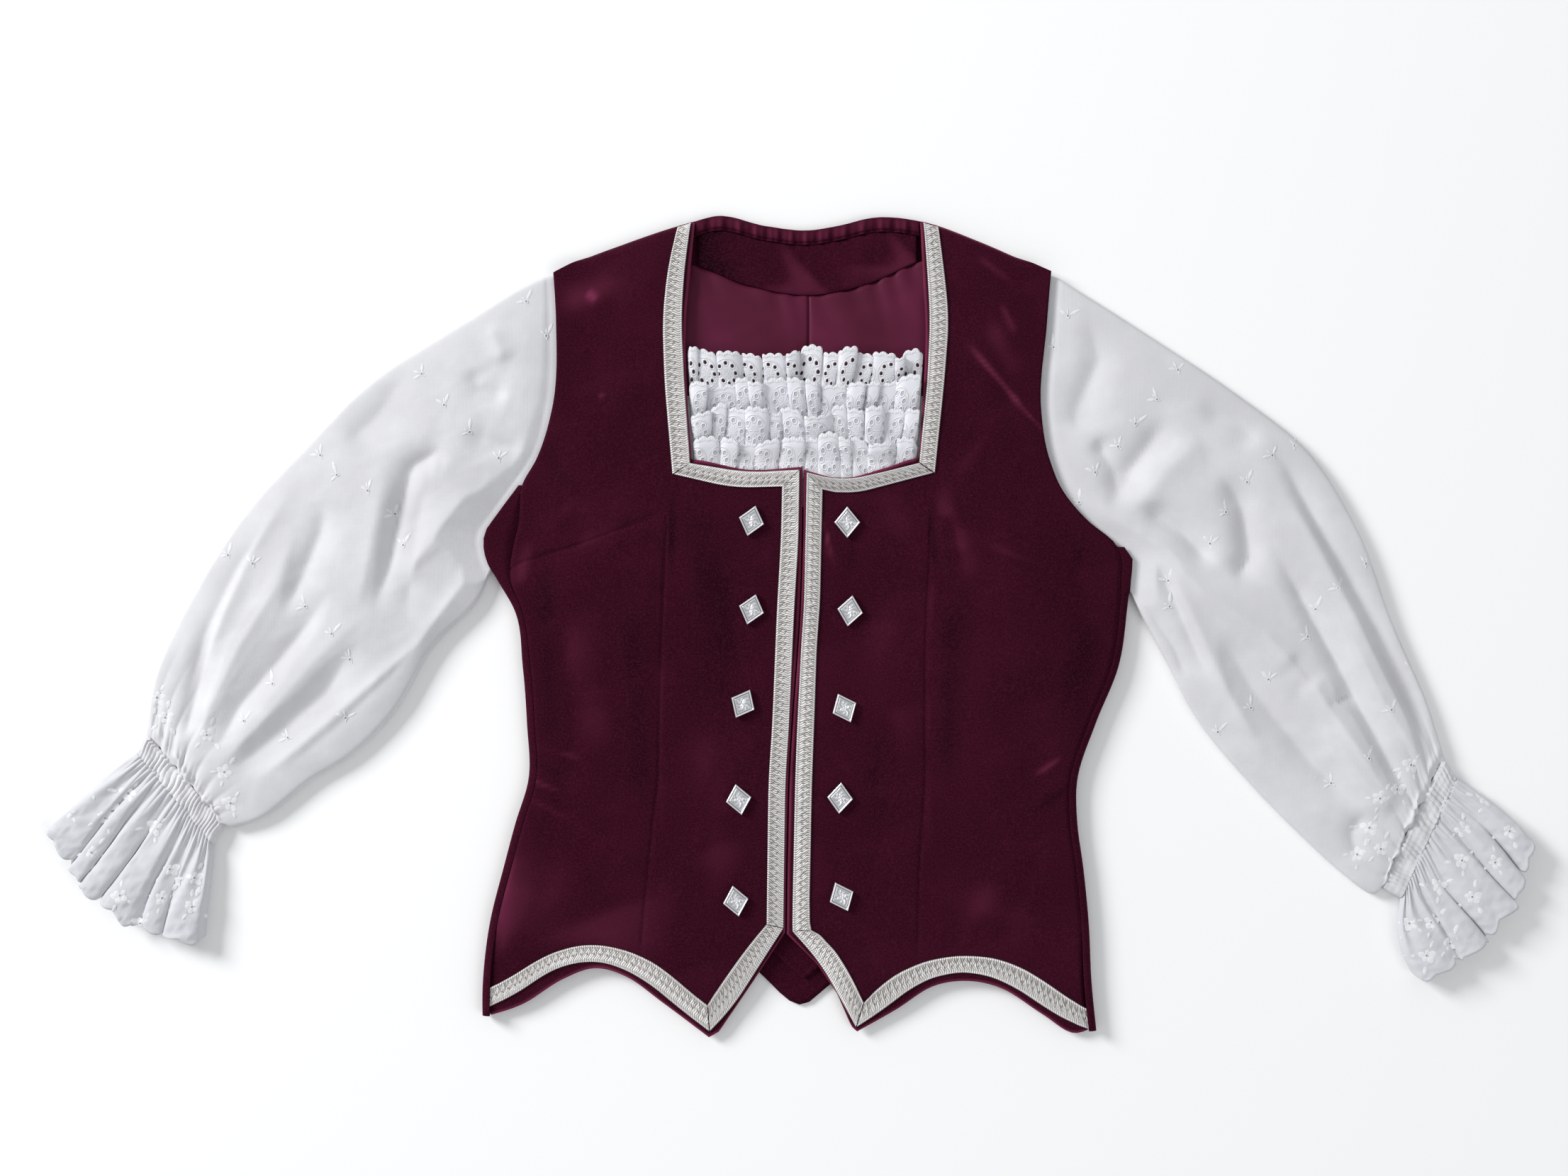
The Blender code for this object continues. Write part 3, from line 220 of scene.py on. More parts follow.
# Long folds of the sleeves: half width to the left and to the right of the line, height, and its places
SLEEVE_FOLDS = {
    "left": (
        (15, 12, -4.6, ((-268, 182), (-289, 149), (-313, 126))),
        (8, 7, -4.2, ((-238, 110), (-250, 121), (-265, 112), (-274, 82), (-282, 42), (-292, 5))),
        (6, 9, 2.6, ((-282, 118), (-288, 80), (-296, 38), (-304, 8))),
        (12, 12, -2.8, ((-254, 104), (-261, 76), (-266, 32), (-270, -8))),
        (6, 8, 2.8, ((-192, 97), (-230, 80), (-262, 46), (-268, 26))),
        (5, 6, -3.2, ((-196, 98), (-214, 73), (-221, 54), (-224, 30))),
        (15, 5, 4.2, ((-216, 70), (-228, 31), (-262, -14), (-308, -54), (-345, -86), (-384, -116))),
        (6, 8, -2.4, ((-246, 8), (-276, -30), (-320, -72), (-360, -104))),
        (6, 10, 3.4, ((-346, 102), (-376, 54), (-396, 10), (-418, -48))),
        (9, 7, -3.8, ((-360, 82), (-388, 40), (-410, -5), (-426, -60))),
        (9, 9, -3.2, ((-326, 92), (-329, 66), (-342, 34), (-356, 6))),
        (7, 7, 3.0, ((-344, 74), (-357, 31), (-386, -16), (-404, -54), (-419, -88))),
        (8, 9, -3.0, ((-316, 32), (-348, -12), (-386, -56), (-405, -94))),
        (8, 10, 3.0, ((-290, 14), (-324, -16), (-364, -60), (-404, -104))),
        (14, 10, -4.2, ((-300, -3), (-326, -46), (-369, -82), (-394, -104))),
        (7, 6, -3.0, ((-402, 10), (-418, -52), (-425, -80))), (4, 5, -2.0, ((-442, -46), (-444, -76))),
        (6, 7, 2.0, ((-211, 214), (-200, 184))), (8, 8, -2.4, ((-224, 182), (-218, 167), (-196, 162))),
        (8, 9, -1.9, ((-230, 136), (-206, 128), (-184, 124))),
        (12, 10, -2.4, ((-290, 176), (-276, 196), (-262, 204)))),
    "right": (
        (12, 12, -3.2, ((208, 224), (217, 187), (200, 151), (201, 134))),
        (8, 9, -2.4, ((214, 133), (222, 118), (236, 96))), (9, 11, -3.6, ((222, 80), (240, 112), (267, 147))),
        (8, 10, 2.8, ((240, 78), (262, 108), (290, 134))), (7, 9, -3.0, ((284, 156), (312, 143), (330, 128))),
        (9, 6, -4.2, ((336, 132), (351, 107), (376, 60), (405, 9), (434, -46), (450, -80))),
        (6, 8, 3.0, ((338, 112), (367, 58), (396, 4), (424, -52), (446, -92))),
        (10, 9, -4.0, ((300, 110), (317, 84), (322, 49), (309, 29))),
        (9, 9, -3.6, ((239, 88), (274, 67), (299, 41))),
        (6, 7, -3.2, ((334, 61), (354, 28), (371, -3), (396, -50), (418, -94), (436, -128))),
        (10, 5, 3.6, ((252, 66), (288, 24), (332, -6), (366, -42), (404, -96), (426, -130))),
        (11, 12, -4.0, ((298, -2), (326, -46), (366, -96), (400, -130))),
        (5, 7, -3.0, ((252, 56), (274, 8), (294, -38))),
        (6, 8, 2.6, ((262, 46), (284, 2), (306, -46), (334, -92))),
        (5, 5, -2.4, ((247, 18), (269, -14), (279, -39))), (7, 8, -2.8, ((348, -20), (368, -42))),
        (9, 10, 2.4, ((372, -64), (400, -106), (424, -130))),
        (6, 7, -2.8, ((404, -130), (394, -145), (398, -166))),
        (5, 6, -2.4, ((400, 12), (427, -41), (452, -90))), (7, 6, 2.4, ((386, 6), (416, -56), (450, -104))),
        (5, 6, -1.6, ((372, -56), (397, -47))))}
FOLD_DEPTH = {"left": 1.5, "right": 2.1}

# Sleeves, cuffs and frills, from the end near the body: the edge on the shoulder side and the edge on the
# body side, how far the section follows the armhole, how far it is tucked inside it, and the cloth's height
SECTIONS = "outer_x outer_y inner_x inner_y follow tuck height"
SLEEVES = {
    "left": table(
        SECTIONS, (-158, 241, -204, 46, 1.0, 7.5, 6.6), (-166, 247, -211, 39, 1.0, 0, 6.8),
        (-190, 238, -223, 14, 0.4, 0, 11.0), (-232, 212, -252, -16, 0.1, 0, 14.0),
        (-292, 174, -277, -59, 0, 0, 15.0), (-337, 130, -307, -90, 0, 0, 15.0),
        (-382, 81, -337, -109, 0, 0, 14.0), (-420, 22, -367, -133, 0, 0, 13.0),
        (-445, -31, -388, -141, 0, 0, 11.0), (-453, -76, -398, -141, 0, 0, 8.5)),
    "right": table(
        SECTIONS, (175, 241, 231, 36, 1.0, 7.5, 6.6), (183, 247, 239, 29, 1.0, 0, 6.8),
        (206, 234, 251, 3, 0.4, 0, 11.0), (253, 204, 266, -27, 0.1, 0, 14.0),
        (313, 164, 288, -68, 0, 0, 15.0), (365, 122, 322, -109, 0, 0, 15.0), (400, 66, 355, -143, 0, 0, 14.0),
        (423, 4, 385, -171, 0, 0, 13.0), (447, -51, 408, -188, 0, 0, 11.0), (460, -93, 416, -184, 0, 0, 8.5))}
CUFFS = {
    "left": table(SECTIONS, (-453.2, -76.6, -398.3, -141.6, 0, 0, 8.0), (-459, -88, -405, -153, 0, 0, 8.0)),
    "right": table(SECTIONS, (460.3, -93.5, 416.5, -184.4, 0, 0, 8.0), (468, -106, 429, -191, 0, 0, 8.0))}
FRILLS = {
    "left": table(
        SECTIONS, (-459.3, -88.5, -405.4, -153.5, 0, 0, 8.0), (-477, -102, -407, -176, 0, 0, 9.5),
        (-497, -120, -410, -198, 0, 0, 11.0), (-518, -138, -413, -220, 0, 0, 11.5)),
    "right": table(
        SECTIONS, (468.4, -106.4, 429.4, -191.4, 0, 0, 8.0), (486, -118, 427, -211, 0, 0, 9.5),
        (502, -131, 431, -230, 0, 0, 11.0), (518, -148, 440, -246, 0, 0, 11.5))}
# Rings of each tube, and places on the top of a ring
SLEEVE_GRID, CUFF_GRID, FRILL_GRID, TUCKED_RINGS = (160, 92), (20, 210), (56, 210), 2
SLEEVE_GATHERS, FINE_GATHERS, CUFF_PLEATS, FRILL_BOW, FRILL_SCALLOPS = 9, 21, 26, 22.0, 11
# Least height of a sleeve, the height above which its folds count half, its top over the cuff, and the least
# height of a frill
SLEEVE_LEAST, SLEEVE_FULL, WRIST_TOP, FRILL_LEAST = 4.6, 14.5, 6.9, 3.0
# Places of a frill's valleys across it, and the depth of each
FRILL_VALLEYS = {"left": ((0, 0.2, 0.3, 0.47, 0.7, 0.8, 1), (1, 0.5, 0.9, 2.2, 0.9, 0.5, 1)),
                 "right": ((0, 0.16, 0.31, 0.62, 0.76, 1), (1, 1.6, 1.3, 1.6, 0.6, 1))}
FRILL_UV = (150.0, 85.0)
EDGE_HEIGHT, TUBE_ROLL = 7.0, 3.4
TUCK_IN, TUCK_LENGTH = 1.1, 2.2
UNDERARM_Y = {"left": 30, "right": 14}
UNDER_FLAP, FLAP_CLEARANCE, FLAP_SLOPE = 6.6, 5.5, 0.32

# Inside the neck and behind the lace
NECK_BAND, BAND_FOLD, BAND_TUCK, BAND_END = 11.0, 0.5, 1.7, 6
LINING_FOOT, LINING_SEAM, HALF_SEAM = 92.0, 13.0, 0.15
LINING_SIDES, BACKING_SIDES = (-80, 104), (-78, 100)
NECK_SIDES, BAND_SIDES = (-64.5, 89), (-70, 94.5)
BACKING_FOOT, BACKING_RISE, PUCKERS = 84.0, 2, 12
FACING_RAISED, BAND_RAISED, TAB_RAISED = 0.6, 1.6, 0.5
# Columns and rows of each flat piece
LINING_GRID, FACING_GRID, BAND_GRID = (44, 50), (120, 40), (240, 20)
BACKING_GRID, TAB_GRID = (60, 30), (78, 40)

# Lace tiers, from the top one down: Y of the gathered edge, and height of the strip
TIERS = ((160, 31), (139, 31), (119, 31), (104, 26))
TIER_COLUMNS, TIER_ROWS = 421, 24
TIER_BULGES = (
    (7, 15, 20, 13, 17, 9, 16, 10, 13, 12, 19, 6, 13), (11, 22, 10, 11, 17, 12, 9, 18, 12, 8, 13, 19),
    (13, 9, 15, 18, 9, 16, 21, 9, 11, 14, 12, 12), (18, 12, 11, 17, 18, 9, 16, 8, 10, 19, 14))
TIER_RISE = table("up rise wave", (0, 0.0, 0.3), (12, 1.0, 1.0), (21, 3.9, 2.2), (32, 5.6, 2.9))
TIER_SIDE_GAP, TIER_RAISED = 1.5, 0.6
ROSETTE_PITCH, ROSETTE_CENTRE, ROSETTE_RING, EYELET_RADIUS = 22.0, 13.6, 6.9, 1.3

# Braid runs: the two edges of each strip
BRAID_PATHS = {
    "left": {
        "neck_side": (((-79, 280), (-86, 250), (-89.5, 215), (-88, 170), (-82.5, 107)),
                      ((-69.5, 283), (-74, 250), (-76, 215), (-74, 170), (-70, 115))),
        "neck_foot": (((-81, 106.5), (-40, 97), (-5.5, 98)), ((-69.5, 114.5), (-30, 108), (6.6, 110))),
        "centre": (((-5.7, 97.2), (-6.5, 60), (-9.3, 12), (-12.5, -68), (-15.2, -108), (-16.5, -208)),
                   ((6.8, 109.2), (6, 60), (3, 12), (-0.5, -68), (-3.1, -108), (-4.6, -211))),
        "slant": (((-16.8, -209), (-31, -226), (-52, -256), (-57.5, -265)),
                  ((-5, -212), (-19, -234), (-40, -267), (-56, -284))),
        "scallop": (((-58.3, -265.5), (-72, -255), (-87, -241), (-105, -230), (-125, -224), (-140, -222),
                     (-157, -225), (-175, -232), (-197, -247), (-213.5, -254.5)),
                    ((-57.2, -284), (-78, -268), (-100, -249), (-125, -236), (-139, -234), (-157, -237),
                     (-170, -242), (-190, -257), (-213.5, -268))),
    },
    "right": {
        "neck_side": (((104, 280), (108, 250), (111.5, 215), (108, 170), (101.5, 108)),
                      ((93.5, 283), (96, 250), (98, 215), (96, 170), (90.5, 115.5))),
        "neck_foot": (((100, 107.5), (60, 97), (41, 92), (22.5, 96)),
                      ((90, 114.5), (60, 107), (36, 102), (11.7, 108))),
        "centre": (((22.8, 95.2), (21, 12), (19, -8), (17, -68), (15.5, -108), (13.5, -205), (15, -212)),
                   ((11.6, 107.2), (9.7, 12), (8, -8), (5, -68), (3.5, -108), (1.5, -205), (1.7, -213))),
        "slant": (((15.2, -212.8), (25, -218), (40, -239), (51.5, -263.5)),
                  ((1.9, -213.8), (20.5, -235), (32, -255), (46, -281))),
        "scallop": (((52.3, -263.5), (67, -248), (85, -238), (103, -232), (130, -230), (155, -235),
                     (178, -248), (198, -263), (212, -270)),
                    ((47.2, -281), (67, -268), (88, -251), (109, -243), (130, -242), (155, -251),
                     (178, -267), (196, -278), (212, -283.5))),
    },
}
BRAID_WIDTH, BRAID_GRAIN, BRAID_POINTS = 12, 0.68, 17
BRAID_BEND, BRAID_SHIFTS, BRAID_TURN_IN = 14.0, 9, 0.3
BRAID_PITCH, CORD_WIDTH, CORD_HEIGHT, STEP_HEIGHT = 4.8, 0.13, 0.85, 0.8

# Places and turns in degrees of the lozenge buttons, of the sprigs and of the flowers
PLACES = "x y turn"
BUTTONS = {
    "left": table(PLACES, (-27, 74, -15), (-27, 12, -16), (-33, -54, -27), (-36, -121, 11), (-38, -192, 11)),
    "right": table(PLACES, (40, 73, 0), (42, 11, -9), (38, -57, 24), (35, -120, -4), (36, -189, 24))}
BUTTON_WIDTH, BUTTON_LENGTH, BUTTON_THICKNESS, BUTTON_RELIEF, BUTTON_GRID = 18.5, 22.5, 3.2, 0.9, 45
SPRIGS = {
    "left": table(
        PLACES, (-185, 228, 100), (-171, 204, 70), (-258, 177, 120), (-242, 155, 80), (-224, 136, 110),
        (-204, 118, 60), (-329, 120, 100), (-317, 106, 140), (-295, 95, 80), (-277, 79, 110), (-271, 57, 70),
        (-394, 50, 100), (-376, 44, 60), (-339, 14, 120), (-320, -5, 80), (-308, -23, 100), (-311, -64, 60),
        (-362, -40, 110), (-382, -66, 80), (-352, -78, 130)),
    "right": table(
        PLACES, (195, 218, 60), (185, 196, 100), (272, 180, 80), (257, 159, 120), (242, 142, 60),
        (230, 126, 100), (214, 108, 80), (203, 87, 120), (354, 127, 60), (338, 120, 100), (320, 101, 80),
        (305, 80, 120), (294, 58, 60), (265, 32, 90), (266, 14, 120), (404, 44, 60), (383, 27, 100),
        (368, 12, 80), (362, -7, 120), (335, -37, 60), (323, -57, 100), (300, -74, 80), (436, -30, 60),
        (420, -58, 100), (404, -92, 80), (380, -110, 120))}
FRILL_FLOWERS = {
    "left": table(
        PLACES, (-464, -117, 0), (-480, -134, 20), (-504, -128, 40), (-445, -141, 10), (-434, -170, 30),
        (-439, -190, 5), (-468, -188, 50), (-417, -176, 15), (-418, -196, 45), (-490, -112, 35),
        (-455, -208, 20), (-488, -158, 0)),
    "right": table(
        PLACES, (487, -120, 0), (503, -143, 20), (493, -165, 40), (471, -164, 10), (477, -189, 30),
        (449, -207, 5), (434, -208, 50), (445, -230, 15), (462, -222, 45), (472, -142, 35), (455, -182, 0))}
BORDER_FLOWERS = {
    "left": table(
        PLACES, (-444, -50, 10), (-408, -76, 40), (-396, -102, 0), (-392, -124, 25), (-438, -64, 30)),
    "right": table(
        PLACES, (406, -141, 10), (414, -156, 40), (412, -120, 0), (435, -97, 25), (425, -114, 30),
        (398, -160, 15))}

# Leaves of a motif: turn in degrees, distance of the foot from the eyelet, length and width
SPRIG = ((-20, 1.5, 7.4, 2.3), (28, 1.5, 4.0, 1.5), (78, 1.4, 5.2, 2.1), (-150, 1.2, 1.6, 1.2))
FLOWER = ((0, 0.9, 5.4, 4.6), (80, 0.9, 4.4, 4.2), (140, 0.9, 5.2, 4.4), (215, 0.9, 4.4, 4.6),
          (285, 0.9, 5.0, 4.0), (40, 6.6, 5.8, 3.0), (180, 6.8, 5.6, 2.6), (262, 7.0, 4.8, 2.8))
LEAF_CROWN, LEAF_REACH = 0.34, 2.3
EYELET_HOLE, RIM_INNER, RIM_WIDTH, RIM_CROWN = 0.8, 0.75, 0.8, 0.3
LEAF_LIFT, RIM_LIFT, EYELET_LIFT = 0.08, 0.1, 0.12
LEAF_GRID, RING_POINTS, RIM_POINTS, HOLE_POINTS = (10, 5), 13, 5, 3
# Points above the first height are the upper layer of a tube. A motif lies on those within the second measure
TOP_LAYER_Z, CLOTH_NEAR, CLOTH_BELL = 3.6, 14, 1.8


def curve(at, knots, values):
    """Smooth curve through the knots: cubic pieces whose slope at a knot is that of its two neighbours."""
    knots, values = np.asarray(knots, float), np.asarray(values, float)
    slopes = np.gradient(values, knots)
    at = np.asarray(at, float)
    i = np.clip(np.searchsorted(knots, at) - 1, 0, len(knots) - 2)
    span = knots[i + 1] - knots[i]
    s = np.clip((at - knots[i]) / span, 0, 1)
    start = (2 * s**3 - 3 * s**2 + 1) * values[i] + (s**3 - 2 * s**2 + s) * span * slopes[i]
    end = (3 * s**2 - 2 * s**3) * values[i + 1] + (s**3 - s**2) * span * slopes[i + 1]
    return start + end


def outline(edge, x):
    return curve(x, edge["x"], edge["y"])


def ease(s):
    """Smooth step from 0 to 1."""
    s = np.clip(s, 0, 1)
    return s * s * (3 - 2 * s)


def bell(distance, width):
    """1 at no distance, and 1/e at the width."""
    return np.exp(-(distance / width)**2)


def round_off(s):
    """How far a quarter circle has fallen, from 1 at its foot, s 0, to 0 where it is level, s 1."""
    return 1 - np.sqrt(1 - (1 - np.clip(s, 0, 1))**2)


def folds(lines, x, y):
    """Sum of soft folds: a bell across each line, faded towards both of its ends."""
    total = np.zeros(np.broadcast(x, y).shape)
    for row in lines:
        run = np.array((row["x2"] - row["x1"], row["y2"] - row["y1"]))
        length = math.hypot(*run)
        along = ((x - row["x1"]) * run[0] + (y - row["y1"]) * run[1]) / length**2
        beside = ((x - row["x1"]) * run[1] - (y - row["y1"]) * run[0]) / length
        ends = ease((along + 0.25) / 0.5) * ease((1.25 - along) / 0.5)
        total += row["height"] * ends * bell(beside, row["width"])
    return total


def draped(lines, x, y):
    """Sum of long folds: a bell across each line of places, with its own width on each side of the line,
    faded towards both of its ends."""
    total = np.zeros(np.shape(x))
    for left, right, height, places in lines:
        away = np.full(np.shape(x), 1e6)
        turn = share = 0 * total
        for i, ((ax, ay), (bx, by)) in enumerate(zip(places[:-1], places[1:])):
            run_x, run_y = bx - ax, by - ay
            s = np.clip(((x - ax) * run_x + (y - ay) * run_y) / (run_x**2 + run_y**2), 0, 1)
            off_x, off_y = x - ax - s * run_x, y - ay - s * run_y
            off = np.hypot(off_x, off_y)
            nearer = off < away
            away = np.where(nearer, off, away)
            turn = np.where(nearer, run_x * off_y - run_y * off_x, turn)
            share = np.where(nearer, (i + s) / (len(places) - 1), share)
        ends = ease(share / 0.3) * ease((1 - share) / 0.25)
        total = total + height * ends * np.exp(-(away / np.where(turn > 0, left, right))**1.35)
    return total


def ripple(x, y, wave, seed):
    """Soft uneven ground between -1 and 1: three sine waves in turned directions, each bent by the last."""
    total = bend = 0 * x
    for turn, share in ((0.3, 1.0), (2.2, 0.8), (4.1, 0.7)):
        way = turn + seed
        bend = np.sin(TAU * share * (x * math.cos(way) + y * math.sin(way)) / wave + 1.7 * bend + 3 * seed)
        total = total + bend
    return total / 3


def spread(values, step):
    """The values with even places between them, no further apart than the step."""
    return np.unique(np.concatenate([
        np.linspace(a, b, max(1, math.ceil((b - a) / step)) + 1) for a, b in zip(values[:-1], values[1:])]))


def add(name, data):
    """A new object that holds the data, in the scene."""
    item = bpy.data.objects.new(name, data)
    bpy.context.scene.collection.objects.link(item)
    return item


def add_mesh(name, points, faces, look):
    """A smooth shaded object from points in millimetres."""
    mesh = bpy.data.meshes.new(name)
    mesh.from_pydata((points * MM).tolist(), [], faces.tolist())
    mesh.shade_smooth()
    mesh.materials.append(look)
    return add(name, mesh)


def grid_faces(rows, cols, closed=False):
    """Quads of a grid of points, numbered row by row. A closed grid's rows join up."""
    r, c = np.meshgrid(np.arange(rows - 1), np.arange(cols - (not closed)), indexing="ij")
    near, far = r * cols + c, r * cols + (c + 1) % cols
    return np.stack([near, far, far + cols, near + cols], axis=-1)


def shell(name, points, look, wall, keep=None, closed=False, flip=False, uv=None, extra=None):
    """Skin over a grid of points in millimetres, with its wall put on by Solidify.

    keep masks the grid's quads. uv and extra, a pair of name and values, are given at the grid's points.
    """
    quads = grid_faces(*points.shape[:2], closed)
    quads = (quads if keep is None else quads[keep]).reshape(-1, 4)
    used, corners = np.unique(quads[:, ::-1] if flip else quads, return_inverse=True)
    corners = corners.reshape(-1, 4)
    piece = add_mesh(name, points.reshape(-1, 3)[used], corners, look)
    if uv is not None:
        layer = piece.data.uv_layers.new(name="cloth")
        layer.uv.foreach_set("vector", uv.reshape(-1, 2)[used][corners.ravel()].astype(np.float32).ravel())
    if extra is not None:
        layer = piece.data.attributes.new(extra[0], "FLOAT", "POINT")
        layer.data.foreach_set("value", extra[1].reshape(-1)[used].astype(np.float32))
    if wall:
        thicken = piece.modifiers.new("Wall", "SOLIDIFY")
        thicken.thickness = wall * MM
        thicken.offset = -1
    return piece


def merged(name, grids, look, lift):
    """Many small patches, an array of grids of points, as one piece."""
    count, rows, cols = grids.shape[:3]
    first = rows * cols * np.arange(count)[:, None, None, None]
    faces = (grid_faces(rows, cols) + first).reshape(-1, 4)
    return add_mesh(name, grids.reshape(-1, 3) + (0, 0, lift), faces, look)


def dress(piece, slot, *nodes):
    """The piece rides on the garment's one body, in place of the nodes named. The slot is not used."""
    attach(piece, "root")
    if nodes:
        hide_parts(*nodes)
    return piece


def cut_to(piece, width, length, area, held, *under, trims=()):
    """Takes the width and length of the piece's cloth in millimetres and turns them into metres, keeping
    nothing. The area, in square metres, is not used.
    """
    width * MM
    length * MM


class Value:
    """A socket of a shader graph. Arithmetic with it adds Math nodes."""

    def __init__(self, graph, socket):
        self.graph, self.socket = graph, socket

    def __add__(self, other):
        return self.graph.math("ADD", self, other)

    def __mul__(self, other):
        return self.graph.math("MULTIPLY", self, other)

    def __sub__(self, other):
        return self.graph.math("SUBTRACT", self, other)

    def __rsub__(self, other):
        return self.graph.math("SUBTRACT", other, self)


class Graph:
    """Short calls that add and join shader nodes. An argument is a Value or plain numbers."""

    def __init__(self, tree):
        self.tree = tree

    def put(self, socket, value):
        if isinstance(value, Value):
            self.tree.links.new(value.socket, socket)
        else:
            socket.default_value = value

    def node(self, kind, inputs, output=0, **settings):
        """An output of a new node. Its inputs are given by name or number, and its settings by name."""
        made = self.tree.nodes.new("ShaderNode" + kind)
        for key, value in settings.items():
            setattr(made, key, value)
        for key, value in inputs.items():
            self.put(made.inputs[key], value)
        return Value(self, made.outputs[output])

    def math(self, operation, *values):
        return self.node("Math", dict(enumerate(values)), operation=operation)

    def length(self, x, y):
        return self.math("SQRT", x * x + y * y)

    def fade(self, value, low, high, start=0.0, end=1.0):
        """Start where the value is at low, end where it is at high, smooth between them."""
        ends = dict(enumerate((value, low, high, start, end)))
        return self.node("MapRange", ends, interpolation_type="SMOOTHSTEP")

    def stroke(self, value, at, half):
        """1 where the value is close to one number, down to 0 at half a stroke's width away from it."""
        return self.fade(self.math("ABSOLUTE", value - at), half, 0.1)

    def blend(self, share, first, second):
        return self.node("Mix", {0: share, 6: first, 7: second}, 2, data_type="RGBA")

    def noise(self, vector, scale, detail=2.0, roughness=0.5):
        return self.node("TexNoise", {"Vector": vector, "Scale": scale, "Detail": detail,
                                      "Roughness": roughness}, "Fac")

    def wave(self, vector, scale, direction, distortion):
        return self.node("TexWave", {"Vector": vector, "Scale": scale, "Distortion": distortion}, "Fac",
                         bands_direction=direction)

    def bump(self, height, distance, strength=1.0, **ground):
        return self.node("Bump", {"Height": height, "Distance": distance, "Strength": strength, **ground},
                         "Normal")

    def attribute(self, name):
        return self.node("Attribute", {}, "Fac", attribute_name=name)

    def outputs(self, value):
        """Every output of the node that the value comes from."""
        return [Value(self, socket) for socket in value.socket.node.outputs]

    def split(self, vector):
        """X and Y of a vector."""
        return self.outputs(self.node("SeparateXYZ", {0: vector}))[:2]

    def group(self, tree, **inputs):
        return self.outputs(self.node("Group", inputs, node_tree=tree))


class Look(Graph):
    """The graph of a new material: its Principled shader, the object's coordinates and the cloth's UV."""

    def __init__(self, name, roughness, metallic=0.0, **sockets):
        self.material = bpy.data.materials.new(name)
        self.material.use_nodes = True
        super().__init__(self.material.node_tree)
        self.shader = self.tree.nodes["Principled BSDF"].inputs
        for key, value in {"Roughness": roughness, "Metallic": metallic, **sockets}.items():
            self.shader[key.replace("_", " ")].default_value = value
        self.place = self.node("TexCoord", {}, "Object")
        self.cloth = self.node("UVMap", {}, uv_map="cloth")

    def painted(self, colour, normal=None):
        """The material, once it has its colour and the normal of its fine relief."""
        self.put(self.shader["Base Color"], colour)
        if normal:
            self.put(self.shader["Normal"], normal)
        return self.material


def new_group(name, outputs, **inputs):
    """A shader node group with named sockets, as (tree, graph, vector, other inputs, output sockets)."""
    tree = bpy.data.node_groups.new(name, "ShaderNodeTree")
    tree.interface.new_socket("Vector", in_out="INPUT", socket_type="NodeSocketVector")
    for label, value in inputs.items():
        tree.interface.new_socket(label, in_out="INPUT", socket_type="NodeSocketFloat").default_value = value
    for label in outputs:
        tree.interface.new_socket(label, in_out="OUTPUT", socket_type="NodeSocketFloat")
    graph = Graph(tree)
    sockets = tree.nodes.new("NodeGroupInput").outputs
    vector, *given = (Value(graph, sockets[label]) for label in ("Vector", *inputs))
    return tree, graph, vector, given, tree.nodes.new("NodeGroupOutput").inputs


def weave_group():
    """Fine plain weave: the higher of two thread waves at right angles, broken up by noise."""
    tree, graph, vector, (scale,), out = new_group("plain_weave", ["Height"], Scale=700.0)
    warp, weft = (graph.wave(vector, scale, way, 1.5) for way in "XY")
    graph.put(out["Height"], graph.math("MAXIMUM", warp, weft) + graph.noise(vector, 260.0, 3.0))
    return tree


def rosette_group():
    """Rings of eight eyelets round a small flower, repeated along the lace.

    U runs along the strip and V in from its scalloped edge, in millimetres. Holes is 1 inside an eyelet, and
    Relief is the height of the stitches round the eyelets, in the flower and along the edge.
    """
    tree, graph, vector, (pitch, centre), out = new_group(
        "eyelet_rosettes", ["Holes", "Relief"], Pitch=ROSETTE_PITCH, Centre=ROSETTE_CENTRE)
    along, inward = graph.split(vector)
    half = pitch * 0.5
    u = graph.math("WRAP", along, half, half * -1.0)
    v = inward - centre
    radius, angle = graph.length(u, v), graph.math("ARCTAN2", v, u)
    sector = graph.math("WRAP", angle, math.pi / 8, -math.pi / 8)
    beside, beyond = radius * graph.math("SINE", sector), radius * graph.math("COSINE", sector) - ROSETTE_RING
    away = graph.length(beside, beyond)
    rim = graph.stroke(away, EYELET_RADIUS + 0.55, 0.65)
    ring = graph.stroke(radius, ROSETTE_RING + 2.9, 0.55)
    petals = graph.math("COSINE", angle * 8.0) * 1.5 + 2.0
    flower = graph.fade(radius - petals, 0.5, -0.5)
    stitches = graph.fade(inward, 2.4, 1.6) * (graph.math("SINE", along * 7.0) * 0.3 + 0.7)
    graph.put(out["Holes"], graph.fade(away, EYELET_RADIUS + 0.1, EYELET_RADIUS - 0.25))
    graph.put(out["Relief"], graph.math("MAXIMUM", graph.math("MAXIMUM", rim, flower),
                                        graph.math("MAXIMUM", ring, stitches)))
    return tree


